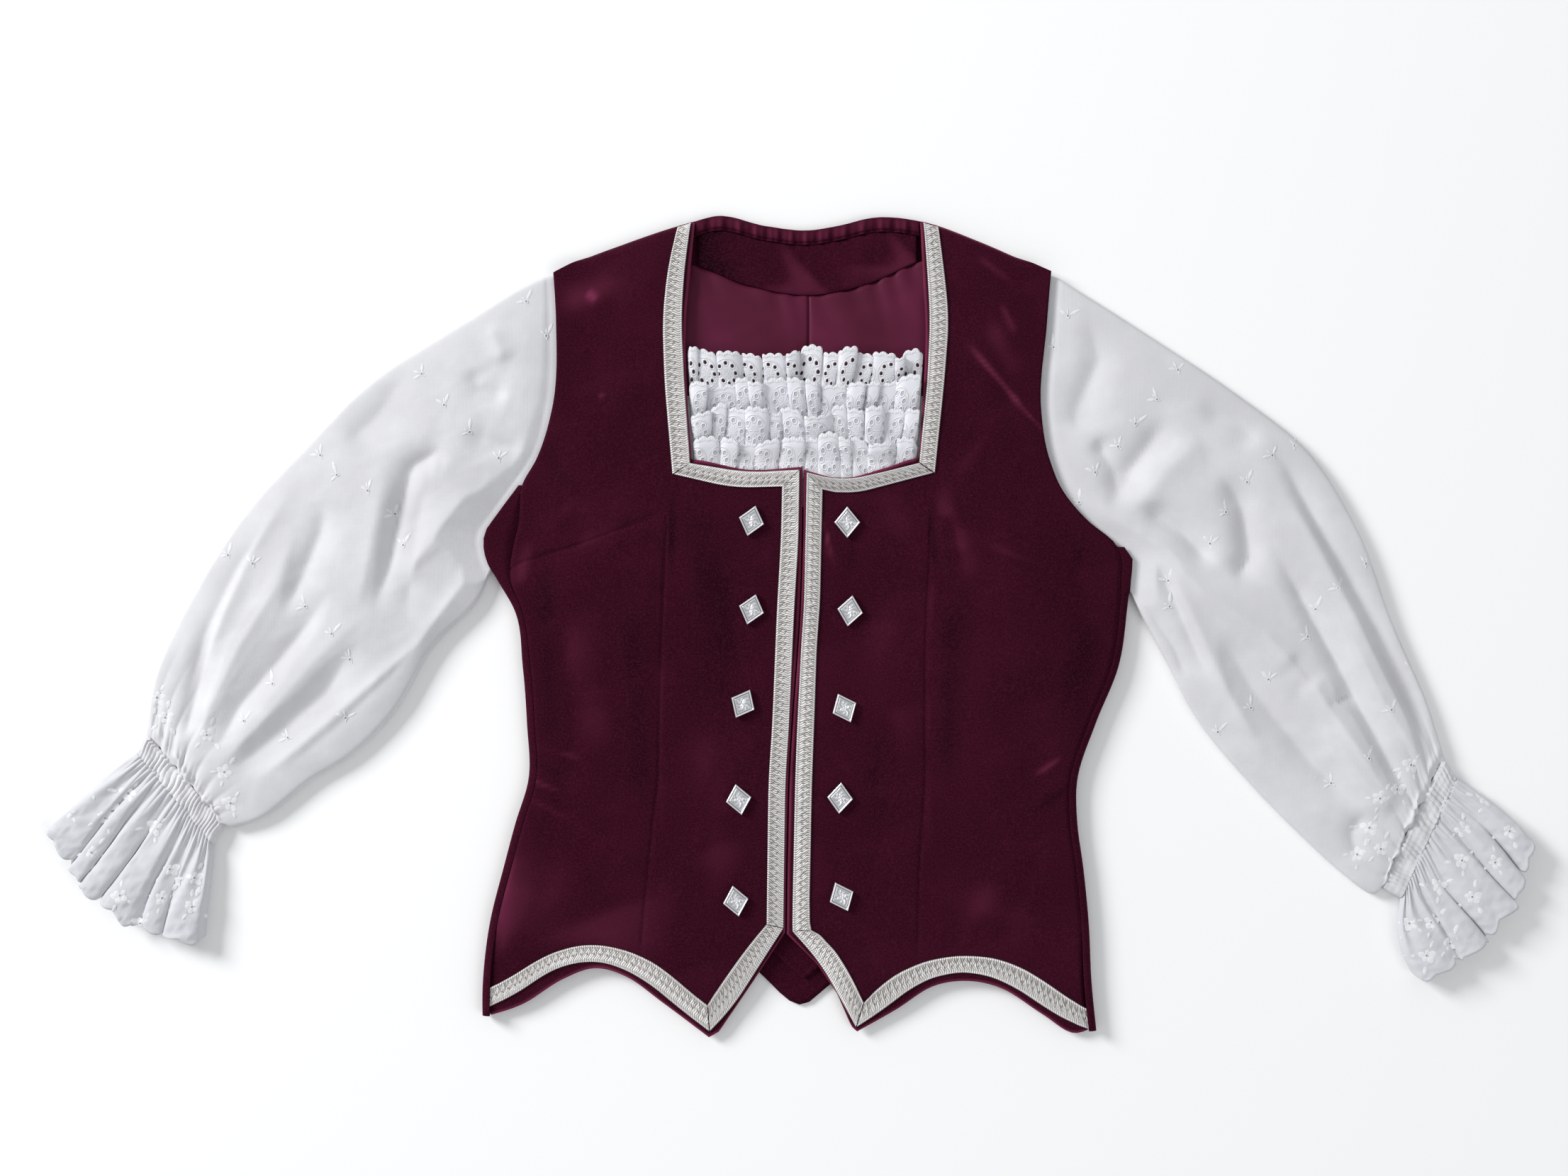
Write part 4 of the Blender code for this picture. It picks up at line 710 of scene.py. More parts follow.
def flower_group():
    """Scattered satin stitch flowers: in each cell of a Voronoi pattern, petals round its point.

    U and V are in millimetres. Relief rises on the petals and is ribbed by the threads.
    """
    tree, graph, vector, (cell,), out = new_group("stitched_flowers", ["Relief", "Eyelet"], Cell=13.0)
    cells = graph.node("TexVoronoi", {"Vector": vector, "Scale": graph.math("DIVIDE", 1.0, cell),
                                      "Randomness": 0.75}, "Position", voronoi_dimensions="2D")
    point = graph.node("VectorMath", {0: cells, "Scale": cell}, operation="SCALE")
    x, y = graph.split(graph.node("VectorMath", {0: vector, 1: point}, operation="SUBTRACT"))
    radius, angle = graph.length(x, y), graph.math("ARCTAN2", y, x)
    petals = graph.math("COSINE", angle * 5.0) * 1.6 + 3.6
    inside = graph.fade(radius - petals, 0.5, -0.6)
    threads = graph.math("SINE", radius * 5.0 + angle * 22.0) * 0.2 + 0.8
    eyelet = graph.fade(radius, 1.1, 0.8)
    graph.put(out["Relief"], inside * threads * (1.0 - eyelet))
    graph.put(out["Eyelet"], eyelet)
    return tree


def velvet_look():
    """Burgundy pile: dark, with a fine grain, rosy where the piece's attribute gives crushed pile and painted
    highlights, and darker where it gives painted shade.
    """
    look = Look("burgundy_velvet", 0.95, Sheen_Weight=0.13, Sheen_Roughness=0.4, Sheen_Tint=VELVET_SHEEN,
                Specular_IOR_Level=0.03)
    patches = look.fade(look.noise(look.place, 11.0, 4.0, 0.6), 0.42, 0.8)
    streaks = look.fade(look.noise(look.place, 55.0, 4.0, 0.65), 0.52, 0.85)
    pile, nap_and_painted_light = look.noise(look.place, 800.0, 4.0, 0.7), look.attribute("nap_and_painted_light")
    colour = look.blend(streaks * 0.25, look.blend(patches, VELVET_DEEP, VELVET_LIT), VELVET_STREAK)
    # Below 0 the attribute paints shade; above 0 it paints rosy crushed pile and painted highlights
    colour = look.blend(look.fade(nap_and_painted_light, 0.0, -0.85), colour, NAP_DARK_AND_PAINTED_SHADE)
    colour = look.blend(look.fade(nap_and_painted_light, 0.0, 1.0), colour, NAP_ROSY_AND_PAINTED_SHEEN)
    colour = look.blend(look.fade(pile, 0.38, 0.72) * 0.34, colour, VELVET_TIPS)
    ground = look.bump(look.noise(look.place, 70.0, 3.0), 0.0006, 0.5)
    return look.painted(colour, look.bump(pile, 0.0003, 0.5, Normal=ground))


def satin_look():
    """Burgundy lining satin: lighter than the velvet, with a faint twill and a soft gloss."""
    look = Look("burgundy_satin", 0.45, Specular_IOR_Level=0.1)
    shades = look.fade(look.noise(look.place, 14.0), 0.3, 0.75)
    turned = look.node("Mapping", {"Vector": look.place, "Rotation": (0, 0, 0.9)})
    return look.painted(look.blend(shades, SATIN_DEEP, SATIN_LIT),
                        look.bump(look.wave(turned, 900.0, "X", 1.0), 0.0001, 0.3))


def cotton_look(weave):
    """White lawn with a fine plain weave and faint grey unevenness."""
    look = Look("white_cotton", 0.9, Sheen_Weight=0.1, Specular_IOR_Level=0.2)
    uneven = look.fade(look.noise(look.place, 22.0, 4.0, 0.6), 0.3, 0.8)
    threads, = look.group(weave, Vector=look.place, Scale=520.0)
    return look.painted(look.blend(uneven, *COTTON_SHADES), look.bump(threads, 0.00012, 0.6))


def stitched_look(flowers, weave):
    """White cloth of the frills: satin stitch flowers and a few eyelets, whose holes are painted grey as
    painted shade.
    """
    look = Look("white_embroidery", 0.8, Sheen_Weight=0.1, Specular_IOR_Level=0.3)
    relief, eyelet = look.group(flowers, Vector=look.cloth, Cell=15.0)
    colour = look.blend(relief, STITCHED_GROUND, STITCHED_THREAD)
    threads, = look.group(weave, Vector=look.place, Scale=520.0)
    # The eyelets are painted grey: painted shade in the holes
    return look.painted(look.blend(eyelet, colour, STITCHED_EYELET_SHADOW),
                        look.bump(relief, 0.0011, Normal=look.bump(threads, 0.0001, 0.5)))


def lace_look(name, rosettes, behind):
    """White eyelet edging. The eyelets are painted in the colour of what lies behind the tier, darkened as
    painted shade.
    """
    look = Look(name, 0.8, Sheen_Weight=0.1, Specular_IOR_Level=0.25)
    holes, relief = look.group(rosettes, Vector=look.cloth)
    colour = look.blend(relief, LACE_GROUND, LACE_THREAD)
    ground = look.bump(look.noise(look.place, 900.0), 0.0001, 0.5)
    # The holes take the colour behind the tier, darkened as painted shade
    return look.painted(look.blend(holes, colour, behind),
                        look.bump(relief - holes * 0.6, 0.0005, Normal=ground))


def braid_look():
    """Silver braid: fine strands of metal thread that cross the band in two steps, brighter on the raised
    parts. U runs along the braid and V across it, in millimetres."""
    look = Look("silver_braid", 0.42, 0.3, Specular_IOR_Level=0.5)
    along, across_it = look.split(look.cloth)
    steps = look.fade(across_it, 1.8, 5.6, 0.0, 1.7) + look.fade(across_it, 6.2, 10.2, 0.0, 1.7)
    turn = along * 0.62 - steps + look.noise(look.place, 120.0) * 1.2
    strand = look.math("ABSOLUTE", look.math("SINE", turn * math.pi))
    tone = look.blend(look.fade(look.attribute("relief"), 0.0, 0.6), BRAID_LOW, BRAID_HIGH)
    tone = look.blend(look.fade(strand, 0.55, 0.0, 0.0, 0.75), tone, BRAID_GAP)
    worn = look.fade(look.noise(look.place, 260.0, 3.0), 0.45, 0.75)
    ground = look.bump(look.wave(look.cloth, 0.9, "DIAGONAL", 1.0), 0.0001, 0.5)
    return look.painted(look.blend(worn * 0.3, tone, BRAID_WORN),
                        look.bump(look.math("POWER", strand, 0.6), 0.0006, 0.9, Normal=ground))


def button_look():
    """Bright plated metal, darker in the low parts of the relief."""
    look = Look("silver_plate", 0.3, 0.8)
    tone = look.blend(look.fade(look.attribute("relief"), 0.1, 0.7), PLATE_LOW, PLATE_HIGH)
    return look.painted(tone, look.bump(look.noise(look.place, 700.0, 3.0), 0.0001, 0.4))


def plain_look(name, colour, roughness, grain=None):
    """One colour, with a fine grain that goes down to a share of it."""
    look = Look(name, roughness, Specular_IOR_Level=0.1)
    if grain:
        darker = tuple(grain * c for c in colour[:3]) + (1,)
        colour = look.blend(look.fade(look.noise(look.place, 500.0), 0.3, 0.7), darker, colour)
    return look.painted(colour)


def hem(side, x):
    """Y of a front's lower edge: a scallop at the side and a slant from the point up to the centre."""
    slant = POINTS[side]
    beyond = x < slant["x"][0] if side == "left" else x > slant["x"][-1]
    return np.where(beyond, outline(SCALLOPS[side], x), np.interp(x, slant["x"], slant["y"]))


def line_x(side, name, y):
    return curve(y, FRONTS[side]["y"], FRONTS[side][name])


def side_x(side, name, y):
    return curve(y, SIDES[side]["y"], SIDES[side][name])


def across(side, column, y):
    """X of a column at the height Y, between the four lines of the front."""
    lines = np.stack([line_x(side, name, y) for name in ("centre", "neck", "dart", "side")])
    i = np.clip(column.astype(int), 0, DART_COLUMN)
    part = column - i
    left, right = (np.take_along_axis(lines, i[None] + step, 0)[0] for step in (0, 1))
    return left * (1 - part) + right * part


def share_of(row, start, end):
    """0 before the start, 1 from the end on, in proportion between them."""
    return np.clip((row - start) / (end - start), 0, 1)


def front_plan(side, rows, columns):
    """X and Y of a front's grid: level rows, moved to the hem, bust dart, neck and shoulder lines."""
    column, row = np.meshgrid(np.asarray(columns, float), np.asarray(rows, float))
    near, far = BUST_DART_RISE[side]
    tilt = np.where(column > DART_COLUMN, near + (far - near) * (column - DART_COLUMN), 0)
    tilt = tilt * np.clip(1 - np.abs(row - BUST_DART_ROW) / BUST_DART_REACH, 0, 1)
    at_hem, at_top = share_of(row, HEM_FADE, FRONT_ROWS[0]), share_of(row, SHOULDER_FADE, FRONT_ROWS[-1])
    at_neck = share_of(row, NECK_FADE, NECK_ROW) * (column <= NECK_COLUMN) * (row <= NECK_ROW)
    x = across(side, column, row)
    for _ in range(PLAN_PASSES):
        y = row + tilt + at_hem * (hem(side, x) - FRONT_ROWS[0])
        y = y + at_neck * (outline(NECKS[side], x) - NECK_ROW)
        y = y + at_top * (outline(TOP_EDGE, x) - FRONT_ROWS[-1])
        x = across(side, column, y)
    return x, y


def edge_distance(side, x, y):
    """Distance in from a front's free edges: the neck, the centre and the hem."""
    inward = -1 if side == "left" else 1
    in_neck, below = inward * (x - line_x(side, "neck", y)), outline(NECKS[side], x) - y
    from_neck = np.where(in_neck < 0, below, np.where(below < 0, in_neck, np.inf))
    from_centre = np.where(y < NECK_ROW + 2, inward * (x - line_x(side, "centre", y)), np.inf)
    return np.minimum(np.minimum(from_neck, from_centre), y - hem(side, x))


def front_height(side, x, y):
    """Height of a front's outer face: a level sheet with a bust, soft folds, creases and a waist dart, lower
    at the hem's points, rolled down to the back at the shoulder and turned at its free edges."""
    bust = BUST_HEIGHT * bell(np.hypot(x - BUSTS[side][0], y - BUSTS[side][1]), BUST_RADIUS)
    from_side = np.abs(x - line_x(side, "side", y))
    inside = ease((from_side - SIDE_LEVEL) / SIDE_RUN) * ease((y - hem(side, x) - HEM_LEVEL) / HEM_RUN)
    soft = folds(VELVET_FOLDS, x, y) + folds(VELVET_CREASES, x, y) + 0.35 * ripple(x, y, 46, 0.4)
    z = FRONT_TOP + inside * (bust + soft)
    from_dart = x - line_x(side, "dart", y)
    dart = bell(from_dart, WAIST_DART["half_width"]) + DART_DIP * bell(from_dart, DART_DIP_WIDTH)
    dart = dart * ease((WAIST_DART["top"] - y) / DART_END) * ease((y - WAIST_DART["foot"]) / DART_END)
    z = z - WAIST_DART["depth"] * dart + folds(DART_SEAMS, x, y)
    z = z - HEM_DROP * np.clip((HEM_DROP_FROM - y) / HEM_DROP_RUN, 0, 1)
    over_sleeve = ease(1 - (from_side - ARMHOLE_LEVEL) / ARMHOLE_RUN)
    rolled = (1 - over_sleeve) * round_off((outline(TOP_EDGE, x) - y) / SHOULDER_ROLL)
    turned = round_off(edge_distance(side, x, y) / EDGE_ROLL)
    return z - (z - SHOULDER_EDGE_Z) * rolled - EDGE_ROLL_DROP * turned


def make_front(side, look):
    """One front: the grid of front_plan at the height of front_height, without the square of the neck."""
    rows = np.unique(np.concatenate([spread(FRONT_ROWS, ROW_STEP), EDGE_ROWS, DART_ROWS]))
    x, y = front_plan(side, rows, FINE_COLUMNS)
    keep = np.ones((len(rows) - 1, len(FINE_COLUMNS) - 1), bool)
    keep[np.searchsorted(rows, NECK_ROW):, :np.searchsorted(FINE_COLUMNS, NECK_COLUMN)] = False
    # Painted light: a rosy painted highlight along the turned edges, with the table's crushed pile, painted
    # highlights and painted shade, over uneven pile
    turned_edge_highlight = bell(np.clip(edge_distance(side, x, y) - 0.6, 0, None), 1.5)
    nap_and_painted_light = 0.6 * turned_edge_highlight + folds(CRUSHED_NAP_AND_PAINTED_LIGHT, x, y) + 0.11 * ripple(x, y, 62, 1.9)
    piece = shell(f"velvet_front_{side}", np.stack([x, y, front_height(side, x, y)], axis=-1), look, VELVET,
                  keep, flip=side == "left", extra=("nap_and_painted_light", nap_and_painted_light))
    return dress(piece, "velvet", f"front_{side}")


def side_profile(side, y, seam, opened):
    """Points round one side of the back at the heights Y, from its seam on the front to the underside.

    Closed, it is a flat part and a half circle down to the floor. Opened, from 0 to 1, the upper points keep
    a low rolled edge and the last point lies further in, clear of the sleeve's end.
    """
    edge = side_x(side, "edge", y)
    inward = 1 if side == "left" else -1
    wrap = np.maximum(inward * (seam - edge) - SIDE_SEAM_GAP, 1.2)
    roll = np.minimum(SIDE_ROLL, wrap * 0.8)
    turn = np.linspace(0, math.pi / 2, ROLL_STEPS + 1)[:, None]
    upper_x = roll * (1 - np.sin(turn))
    upper_z = FRONT_TOP - (1 - np.cos(turn)) * (SIDE_ROLL + opened * (FRONT_TOP - ARMHOLE_EDGE_Z - SIDE_ROLL))
    flat_x = wrap + (roll - wrap) * np.array((0, 0.5))[:, None]
    flat_z = FRONT_TOP - np.array((0.25, 0))[:, None] * ease((wrap - 2) / 4)
    inner = np.maximum(inward * (side_x(side, "armhole", y) - edge), 0) + BACK_TUCK
    lower_x = SIDE_ROLL * (1 - np.cos(turn[1:])) * (1 - opened) + opened * inner
    lower_z = SIDE_ROLL * (1 - np.sin(turn[1:])) * (1 - opened)
    across_it = np.concatenate([flat_x, upper_x, lower_x])
    return edge + inward * across_it, np.concatenate([flat_z, upper_z, lower_z])


def make_back(look):
    """The back: flat on the floor, turned round a roll at each side onto the front as far as its seam."""
    level = spread(FRONT_ROWS, BACK_STEP)
    sides = {}
    for side in ("left", "right"):
        seam_x, seam_y = (values[:, 0] for values in front_plan(side, level, (SIDE_COLUMN,)))
        opened = share_of(level, *UNDERARM_ROWS[side])
        sides[side] = (seam_y, *side_profile(side, seam_y, seam_x, opened))
    left_y, left_x, left_z = sides["left"]
    right_y, right_x, right_z = sides["right"]
    part = np.linspace(0, 1, BACK_COLUMNS + 1)[1:-1, None]
    middle_x = left_x[-1] * (1 - part) + right_x[-1] * part
    at_hem, at_top = share_of(level, HEM_FADE, level[0]), share_of(level, SHOULDER_FADE, level[-1])

    def shifted(x):
        down, up = outline(BACK_HEM, x) - level[0], outline(TOP_EDGE, x) - BAND_FOLD - level[-1]
        return level + at_hem * down + at_top * up

    left_share, right_share = (np.clip(1 - way / SIDE_REACH, 0, 1) for way in (part, 1 - part))
    middle_y = shifted(middle_x) + left_share * (left_y - shifted(left_x[-1]))
    middle_y = middle_y + right_share * (right_y - shifted(right_x[-1]))
    x = np.vstack([left_x, middle_x, right_x[::-1]]).T
    y = np.vstack([np.tile(left_y, (len(left_x), 1)), middle_y, np.tile(right_y, (len(left_x), 1))]).T
    z = np.vstack([left_z, 0 * middle_x, right_z[::-1]]).T
    keep = np.ones((len(level) - 1, x.shape[1] - 1), bool)
    for side, towards in (("left", keep), ("right", keep[:, ::-1])):
        towards[np.searchsorted(level, UNDERARM_ROWS[side][0]):, SIDE_STEPS - ROLL_STEPS:SIDE_STEPS] = False
        towards[np.searchsorted(level, WRAP_TOP_ROW[side]):, :SIDE_STEPS] = False
    piece = shell("velvet_back", np.stack([x, y, z], axis=-1), look, VELVET, keep, flip=True)
    return dress(piece, "velvet", "back")


def plate(name, low, high, sides, top, wall, look, grid, rise, nap_and_painted_light=None):
    """Piece between a low and a high edge, each a number or a function that gives Y at X.

    Its height is the top plus rise, which like nap is a function of X, Y and the share of the way up.
    """
    columns, rows = grid
    x = np.repeat(np.linspace(*sides, columns + 1)[None], rows + 1, 0)
    part = np.linspace(0, 1, rows + 1)[:, None]
    low, high = (edge(x) if callable(edge) else 0 * x + edge for edge in (low, high))
    y = low * (1 - part) + high * part
    extra = nap_and_painted_light and ("nap_and_painted_light", nap_and_painted_light(x, y, part))
    return shell(name, np.stack([x, y, top + rise(x, y, part)], axis=-1), look, wall, extra=extra)


def facing_edge(x):
    return outline(FACING_EDGE, x)


def band_foot(x):
    return outline(TOP_EDGE, x) - NECK_BAND


def creased(x, y, part):
    """Rise of the lining: a sunken centre seam, soft ground, and pulls below the facing."""
    drawn = 1.0 + 0.7 * ease((x - LINING_SEAM) / 12)
    pulls = drawn * np.sin((x + 0.35 * y) / 2.9 + 1.4 * np.sin(x / 11)) * share_of(part, 0.72, 1)**1.7
    seam = bell(x - LINING_SEAM, 1.4) + 0.4 * bell(x - LINING_SEAM, 7)
    return 0.55 * pulls + 0.6 * ripple(x, y, 44, 1.1) * ease((1 - part) / 0.1 + 0.3) - 0.7 * seam


def pucker(x, y, part):
    """Rise of the neck band: uneven puckers over a row of stitches, tucked in at both ends."""
    left, right = NECK_SIDES
    turn = TAU * PUCKERS * (x - left) / (right - left) + 1.1 * np.sin(x / 17)
    drawn = np.cos(turn) + 0.6 * np.cos(2.3 * turn + 1 + 0.4 * np.sin(3 * part))
    tucked = ease((x - BAND_SIDES[0]) / BAND_END) * ease((BAND_SIDES[1] - x) / BAND_END)
    full = 0.9 * drawn * (1.05 - part)**0.5 + 1.3 * np.sin(math.pi * part)**0.6 - bell(part - 0.16, 0.05)
    return tucked * full - BAND_TUCK * (1 - tucked)


def make_neck_inside(velvet, satin, cotton):
    """Satin lining in two halves, the velvet facing above it, the puckered band and the lace's backing."""
    made = []
    for side, sides in (("left", (LINING_SIDES[0], LINING_SEAM - HALF_SEAM)),
                        ("right", (LINING_SEAM + HALF_SEAM, LINING_SIDES[1]))):
        piece = plate(f"satin_lining_{side}", LINING_FOOT, lambda x: facing_edge(x) - SEAM_GAP, sides,
                      LINING_TOP, SATIN, satin, LINING_GRID, creased)
        made.append(dress(piece, "satin", f"back_lining_{side}"))
    piece = plate("velvet_facing", facing_edge, lambda x: band_foot(x) - SEAM_GAP, NECK_SIDES,
                  LINING_TOP + FACING_RAISED, VELVET, velvet, FACING_GRID,
                  lambda x, y, part: 0.7 * ease(part / 0.06) + 0.4 * ripple(x, y, 30, 2.3),
                  # The facing's attribute: uneven pile, with painted shadow darkening its left end
                  lambda x, y, part: 0.25 * ripple(x, y, 52, 0.7) - 0.9 * bell(x - NECK_SIDES[0], 26) + 0.1)
    made.append(dress(piece, "velvet", "neck_facing"))
    piece = plate("velvet_neck_band", band_foot, lambda x: outline(TOP_EDGE, x) - BAND_FOLD, BAND_SIDES,
                  LINING_TOP + BAND_RAISED, VELVET, velvet, BAND_GRID, pucker,
                  # Painted light: the band is rosier towards its folded top and on its pucker crests as
                  # painted highlight, and darker between the puckers as painted shade
                  lambda x, y, part: 0.12 + 0.16 * part + 0.16 * (pucker(x, y, part) - 1))
    made.append(dress(piece, "velvet", "neck_band"))
    piece = plate("cotton_backing", BACKING_FOOT, TIERS[0][0] + BACKING_RISE, BACKING_SIDES, BACKING_TOP,
                  COTTON, cotton, BACKING_GRID, lambda x, y, part: 0 * x)
    return made + [dress(piece, "cotton", "lace_backing")]


def make_hem_tab(look):
    """The V of the back's inner hem, with a rolled lower edge over a stitched line."""
    def low(x):
        return np.interp(x, TAB_HEM["x"], TAB_HEM["y"])

    def rolled(x, y, part):
        return 0.9 * bell(y - low(x) - 2.2, 2) - 0.5 * bell(y - low(x) - 6, 1.2)

    piece = plate("velvet_hem_tab", low, TAB_TOP, TAB_HEM["x"][[0, -1]], LINING_TOP + TAB_RAISED, TAB_WALL,
                  look, TAB_GRID, rolled)
    return dress(piece, "velvet", "back_hem_tab")


def make_tier(number, look):
    """One gathered lace strip: waves that grow to the upper edge, leaning so that they half overlap, under a
    scalloped edge. U is the length along the strip and V the distance in from its edge."""
    foot, height = TIERS[number]
    part = np.linspace(0, 1, TIER_COLUMNS)[None]
    widths = np.concatenate([[0], np.cumsum(TIER_BULGES[number])])
    bulge = np.interp(part, widths / widths[-1], np.arange(len(widths)))
    index = np.floor(bulge)
    beside = 2 * (bulge - index) - 1
    crest = 1 - np.abs(beside)**2.6
    up = np.linspace(0, 1, TIER_ROWS)[:, None] * height
    rise, wave = (np.interp(up, TIER_RISE["up"], TIER_RISE[name]) for name in ("rise", "wave"))
    proud = 1.6 + 0.85 * np.sin(4.1 * index + number)
    tilt = 0.35 * beside * np.sin(2.3 * index + 1.7 * number)
    z = BACKING_TOP + SEAM_GAP + LACE + TIER_RAISED + rise + wave * ((proud + tilt) * crest - 1.0)
    level = foot + up
    left, right = (line_x(side, "neck", np.maximum(level, NECK_ROW)) for side in ("left", "right"))
    inner = ease(part / 0.04) * ease((1 - part) / 0.04)
    lean = wave * inner * (0.8 * np.sin(math.pi * beside) + 1.5 * crest * np.sin(5.7 * index + number))
    x = (left + TIER_SIDE_GAP) * (1 - part) + (right - TIER_SIDE_GAP) * part + lean
    run = np.cumsum(np.hypot(np.diff(x[-1]), np.diff(z[-1])))
    run = np.concatenate([[0], run])[None] + 0 * up
    scallops = 1.9 * np.abs(np.sin(math.pi * run / 6.2))**0.7 * ease((up / height - 0.86) / 0.14)
    dome = (3.8 + 2.0 * np.sin(3.3 * index + 2 * number)) * (1 - np.abs(beside)**2.2) - 3.4
    sway = 2.2 * np.sin(x / 15 + 2.1 * number) + 1.3 * np.sin(x / 6.5 + number)
    y = level + (dome + sway) * (up / height)**2 + scallops
    uv = np.stack([run + 7 * number, (height - up) + 0 * run], axis=-1)
    piece = shell(f"lace_strip_{number + 1}", np.stack([x, y, z], axis=-1), look, LACE, uv=uv)
    return dress(piece, "lace", f"lace_tier_{number + 1}")


def ring_places(width, count):
    """Places across a flattened ring: an upper quarter turn, the top, another quarter turn, and back below.

    Returns the share of the width, the height factor, 0 at the bottom and 1 on the top, and how many are on
    the top.
    """
    edge = TUBE_ROLL / width
    turn = np.linspace(0, math.pi / 2, 5)[:-1]
    rising = edge * (1 - np.cos(turn))
    lift = 0.5 + 0.5 * np.sin(turn)
    under = np.linspace(1 - edge, edge, count // 4)
    share = [rising, edge + np.linspace(0, 1, count) * (1 - 2 * edge), 1 - rising[::-1],
             1 - edge * (1 - np.cos(turn[1:])), under, edge * (1 - np.cos(turn[:0:-1]))]
    height = [lift, np.ones(count), lift[::-1],
              0.5 - 0.5 * np.sin(turn[1:]), 0 * under, 0.5 - 0.5 * np.sin(turn[:0:-1])]
    return np.concatenate(share), np.concatenate(height), 2 * len(turn) + count


def tube_grid(sections, side, grid, shape, bow=None, tucked=0):
    """Points of a flattened tube through the sections, and the share across and along of each.

    shape gives the height of the top from the share along and across, the section's height, X and Y. bow
    gives how far outward a point is moved, in millimetres, and how far across, as a share of the width.
    The tucked rings come before the first section, a little smaller, inside the piece that they are sewn to.
    """
    rings, count = grid
    at = np.linspace(0, len(sections) - 1, rings)
    column = {key: curve(at, np.arange(len(sections)), sections[key]) for key in sections.dtype.names}
    outward = -1 if side == "left" else 1
    points, shares = [], []
    for r in [0] * tucked + list(range(rings)):
        along = r / (rings - 1)
        outer_x, outer_y, inner_x, inner_y, follow, tuck, height = (values[r] for values in column.values())
        run_x, run_y = inner_x - outer_x, inner_y - outer_y
        width = math.hypot(run_x, run_y)
        part, level, tops = ring_places(width, count)
        x, y = outer_x + run_x * part, outer_y + run_y * part
        seam = sections[1] if at[r] > 1 else {key: values[r] for key, values in column.items()}
        seam_x = seam["outer_x"] + (seam["inner_x"] - seam["outer_x"]) * part
        seam_y = seam["outer_y"] + (seam["inner_y"] - seam["outer_y"]) * part
        x = x + follow * (side_x(side, "armhole", seam_y) - outward * tuck - seam_x)
        if bow:
            out, aside = bow(along, part, np.arange(len(part)) >= tops)
            out = out * outward / width
            x, y = x - out * run_y + aside * run_x, y + out * run_x + aside * run_y
        points.append(np.stack([x, y, level * shape(along, part, height, x, y)], axis=-1))
        if len(points) <= tucked:
            back_x, back_y = run_y / width * outward, -run_x / width * outward
            inwards = (0.5 - part) * 2 * TUCK_IN
            lead = TUCK_LENGTH * (1 - (len(points) - 1) / tucked)
            points[-1] += np.stack([lead * back_x + inwards * run_x / width,
                                    lead * back_y + inwards * run_y / width,
                                    TUCK_IN * (1 - 2 * level)], axis=-1)
        shares.append(np.stack([part, np.full(len(part), along)], axis=-1))
    return np.array(points), np.array(shares)


def pleated(count, part, wander):
    """Narrow pleats across a tube, rounded on top and sharp in the valleys, from 0 to 1."""
    return np.abs(np.sin(math.pi * count * part + wander))**0.6


def make_tube(cloth, name, side, points, look, wall, slot, uv=None):
    piece = shell(f"{cloth}_{side}", points, look, wall, closed=True, flip=side == "left", uv=uv)
    return dress(piece, slot, f"{name}_{side}")


def make_sleeve(side, look):
    """One sleeve, with its grid of points kept for the sprigs: a low crown with folds and creases, gathered
    into the wrist, with an uneven end over the cuff."""
    outward = -1 if side == "left" else 1

    def shape(along, part, height, x, y):
        middle = np.sin(math.pi * np.clip(part, 0, 1))**0.6
        edge = min(height, EDGE_HEIGHT)
        free = ease((along - 0.12) / 0.12) * ease((1 - along) / 0.12)
        near, late = ease((along - 0.78) / 0.22), ease((along - 0.9) / 0.1)
        gathers = near * (2.6 * pleated(SLEEVE_GATHERS, part, 0.9 * np.sin(7 * part)) - 1.7)
        gathers = gathers + late * (1.8 * pleated(FINE_GATHERS, part, 1.6 * np.sin(9 * part)) - 1.1)
        gathers = gathers + 1.5 * bell(along - 0.972, 0.014) * (1 + 0.8 * np.sin(17 * part))
        limp = 0.5 * ripple(x, y, 66, 0.9) + 0.28 * ripple(x, y, 27, 2.0)
        soft = (FOLD_DEPTH[side] * draped(SLEEVE_FOLDS[side], x, y) + limp) * free
        top = np.maximum(edge + middle * (height - edge + soft + gathers), SLEEVE_LEAST)
        top = top - 0.5 * np.maximum(top - SLEEVE_FULL, 0)
        top = top - ease((along - 0.972) / 0.026) * np.maximum(top - WRIST_TOP, 0)
        beyond = outward * (x - side_x(side, "edge", y))
        under = UNDER_FLAP + FLAP_SLOPE * np.maximum(beyond - FLAP_CLEARANCE, 0)
        return np.where(y > UNDERARM_Y[side], np.minimum(top, under), top)

    def bow(along, part, lower):
        return ease((along - 0.93) / 0.07) * (1.3 * np.sin(29 * part) + 0.8 * np.sin(61 * part + 1) - 0.4), 0

    points, _ = tube_grid(SLEEVES[side], side, SLEEVE_GRID, shape, bow)
    return make_tube("cotton_sleeve", "sleeve", side, points, look, COTTON, "cotton"), points


def make_cuff(side, look):
    """The shirred band: narrow uneven pleats along the arm with sharp valleys, drawn in a little by each row
    of elastic."""
    def shape(along, part, height, x, y):
        wander = 2.4 * np.sin(8 * part) + 0.5 * np.sin(TAU * 0.7 * along + 19 * part)
        uneven = 0.65 + 0.35 * np.sin(29 * part + 2.5 * along)
        bunched = 0.7 * np.sin(13 * part + 2.2 * along) + 0.5 * np.sin(31 * part - 3 * along)
        pleats = 2.0 * uneven * (pleated(CUFF_PLEATS, part, wander) - 0.6)
        return height + pleats + bunched + 0.12 * math.cos(TAU * 3 * along)

    points, _ = tube_grid(CUFFS[side], side, CUFF_GRID, shape, tucked=TUCKED_RINGS)
    return make_tube("cotton_cuff", "cuff", side, points, look, COTTON, "cotton")


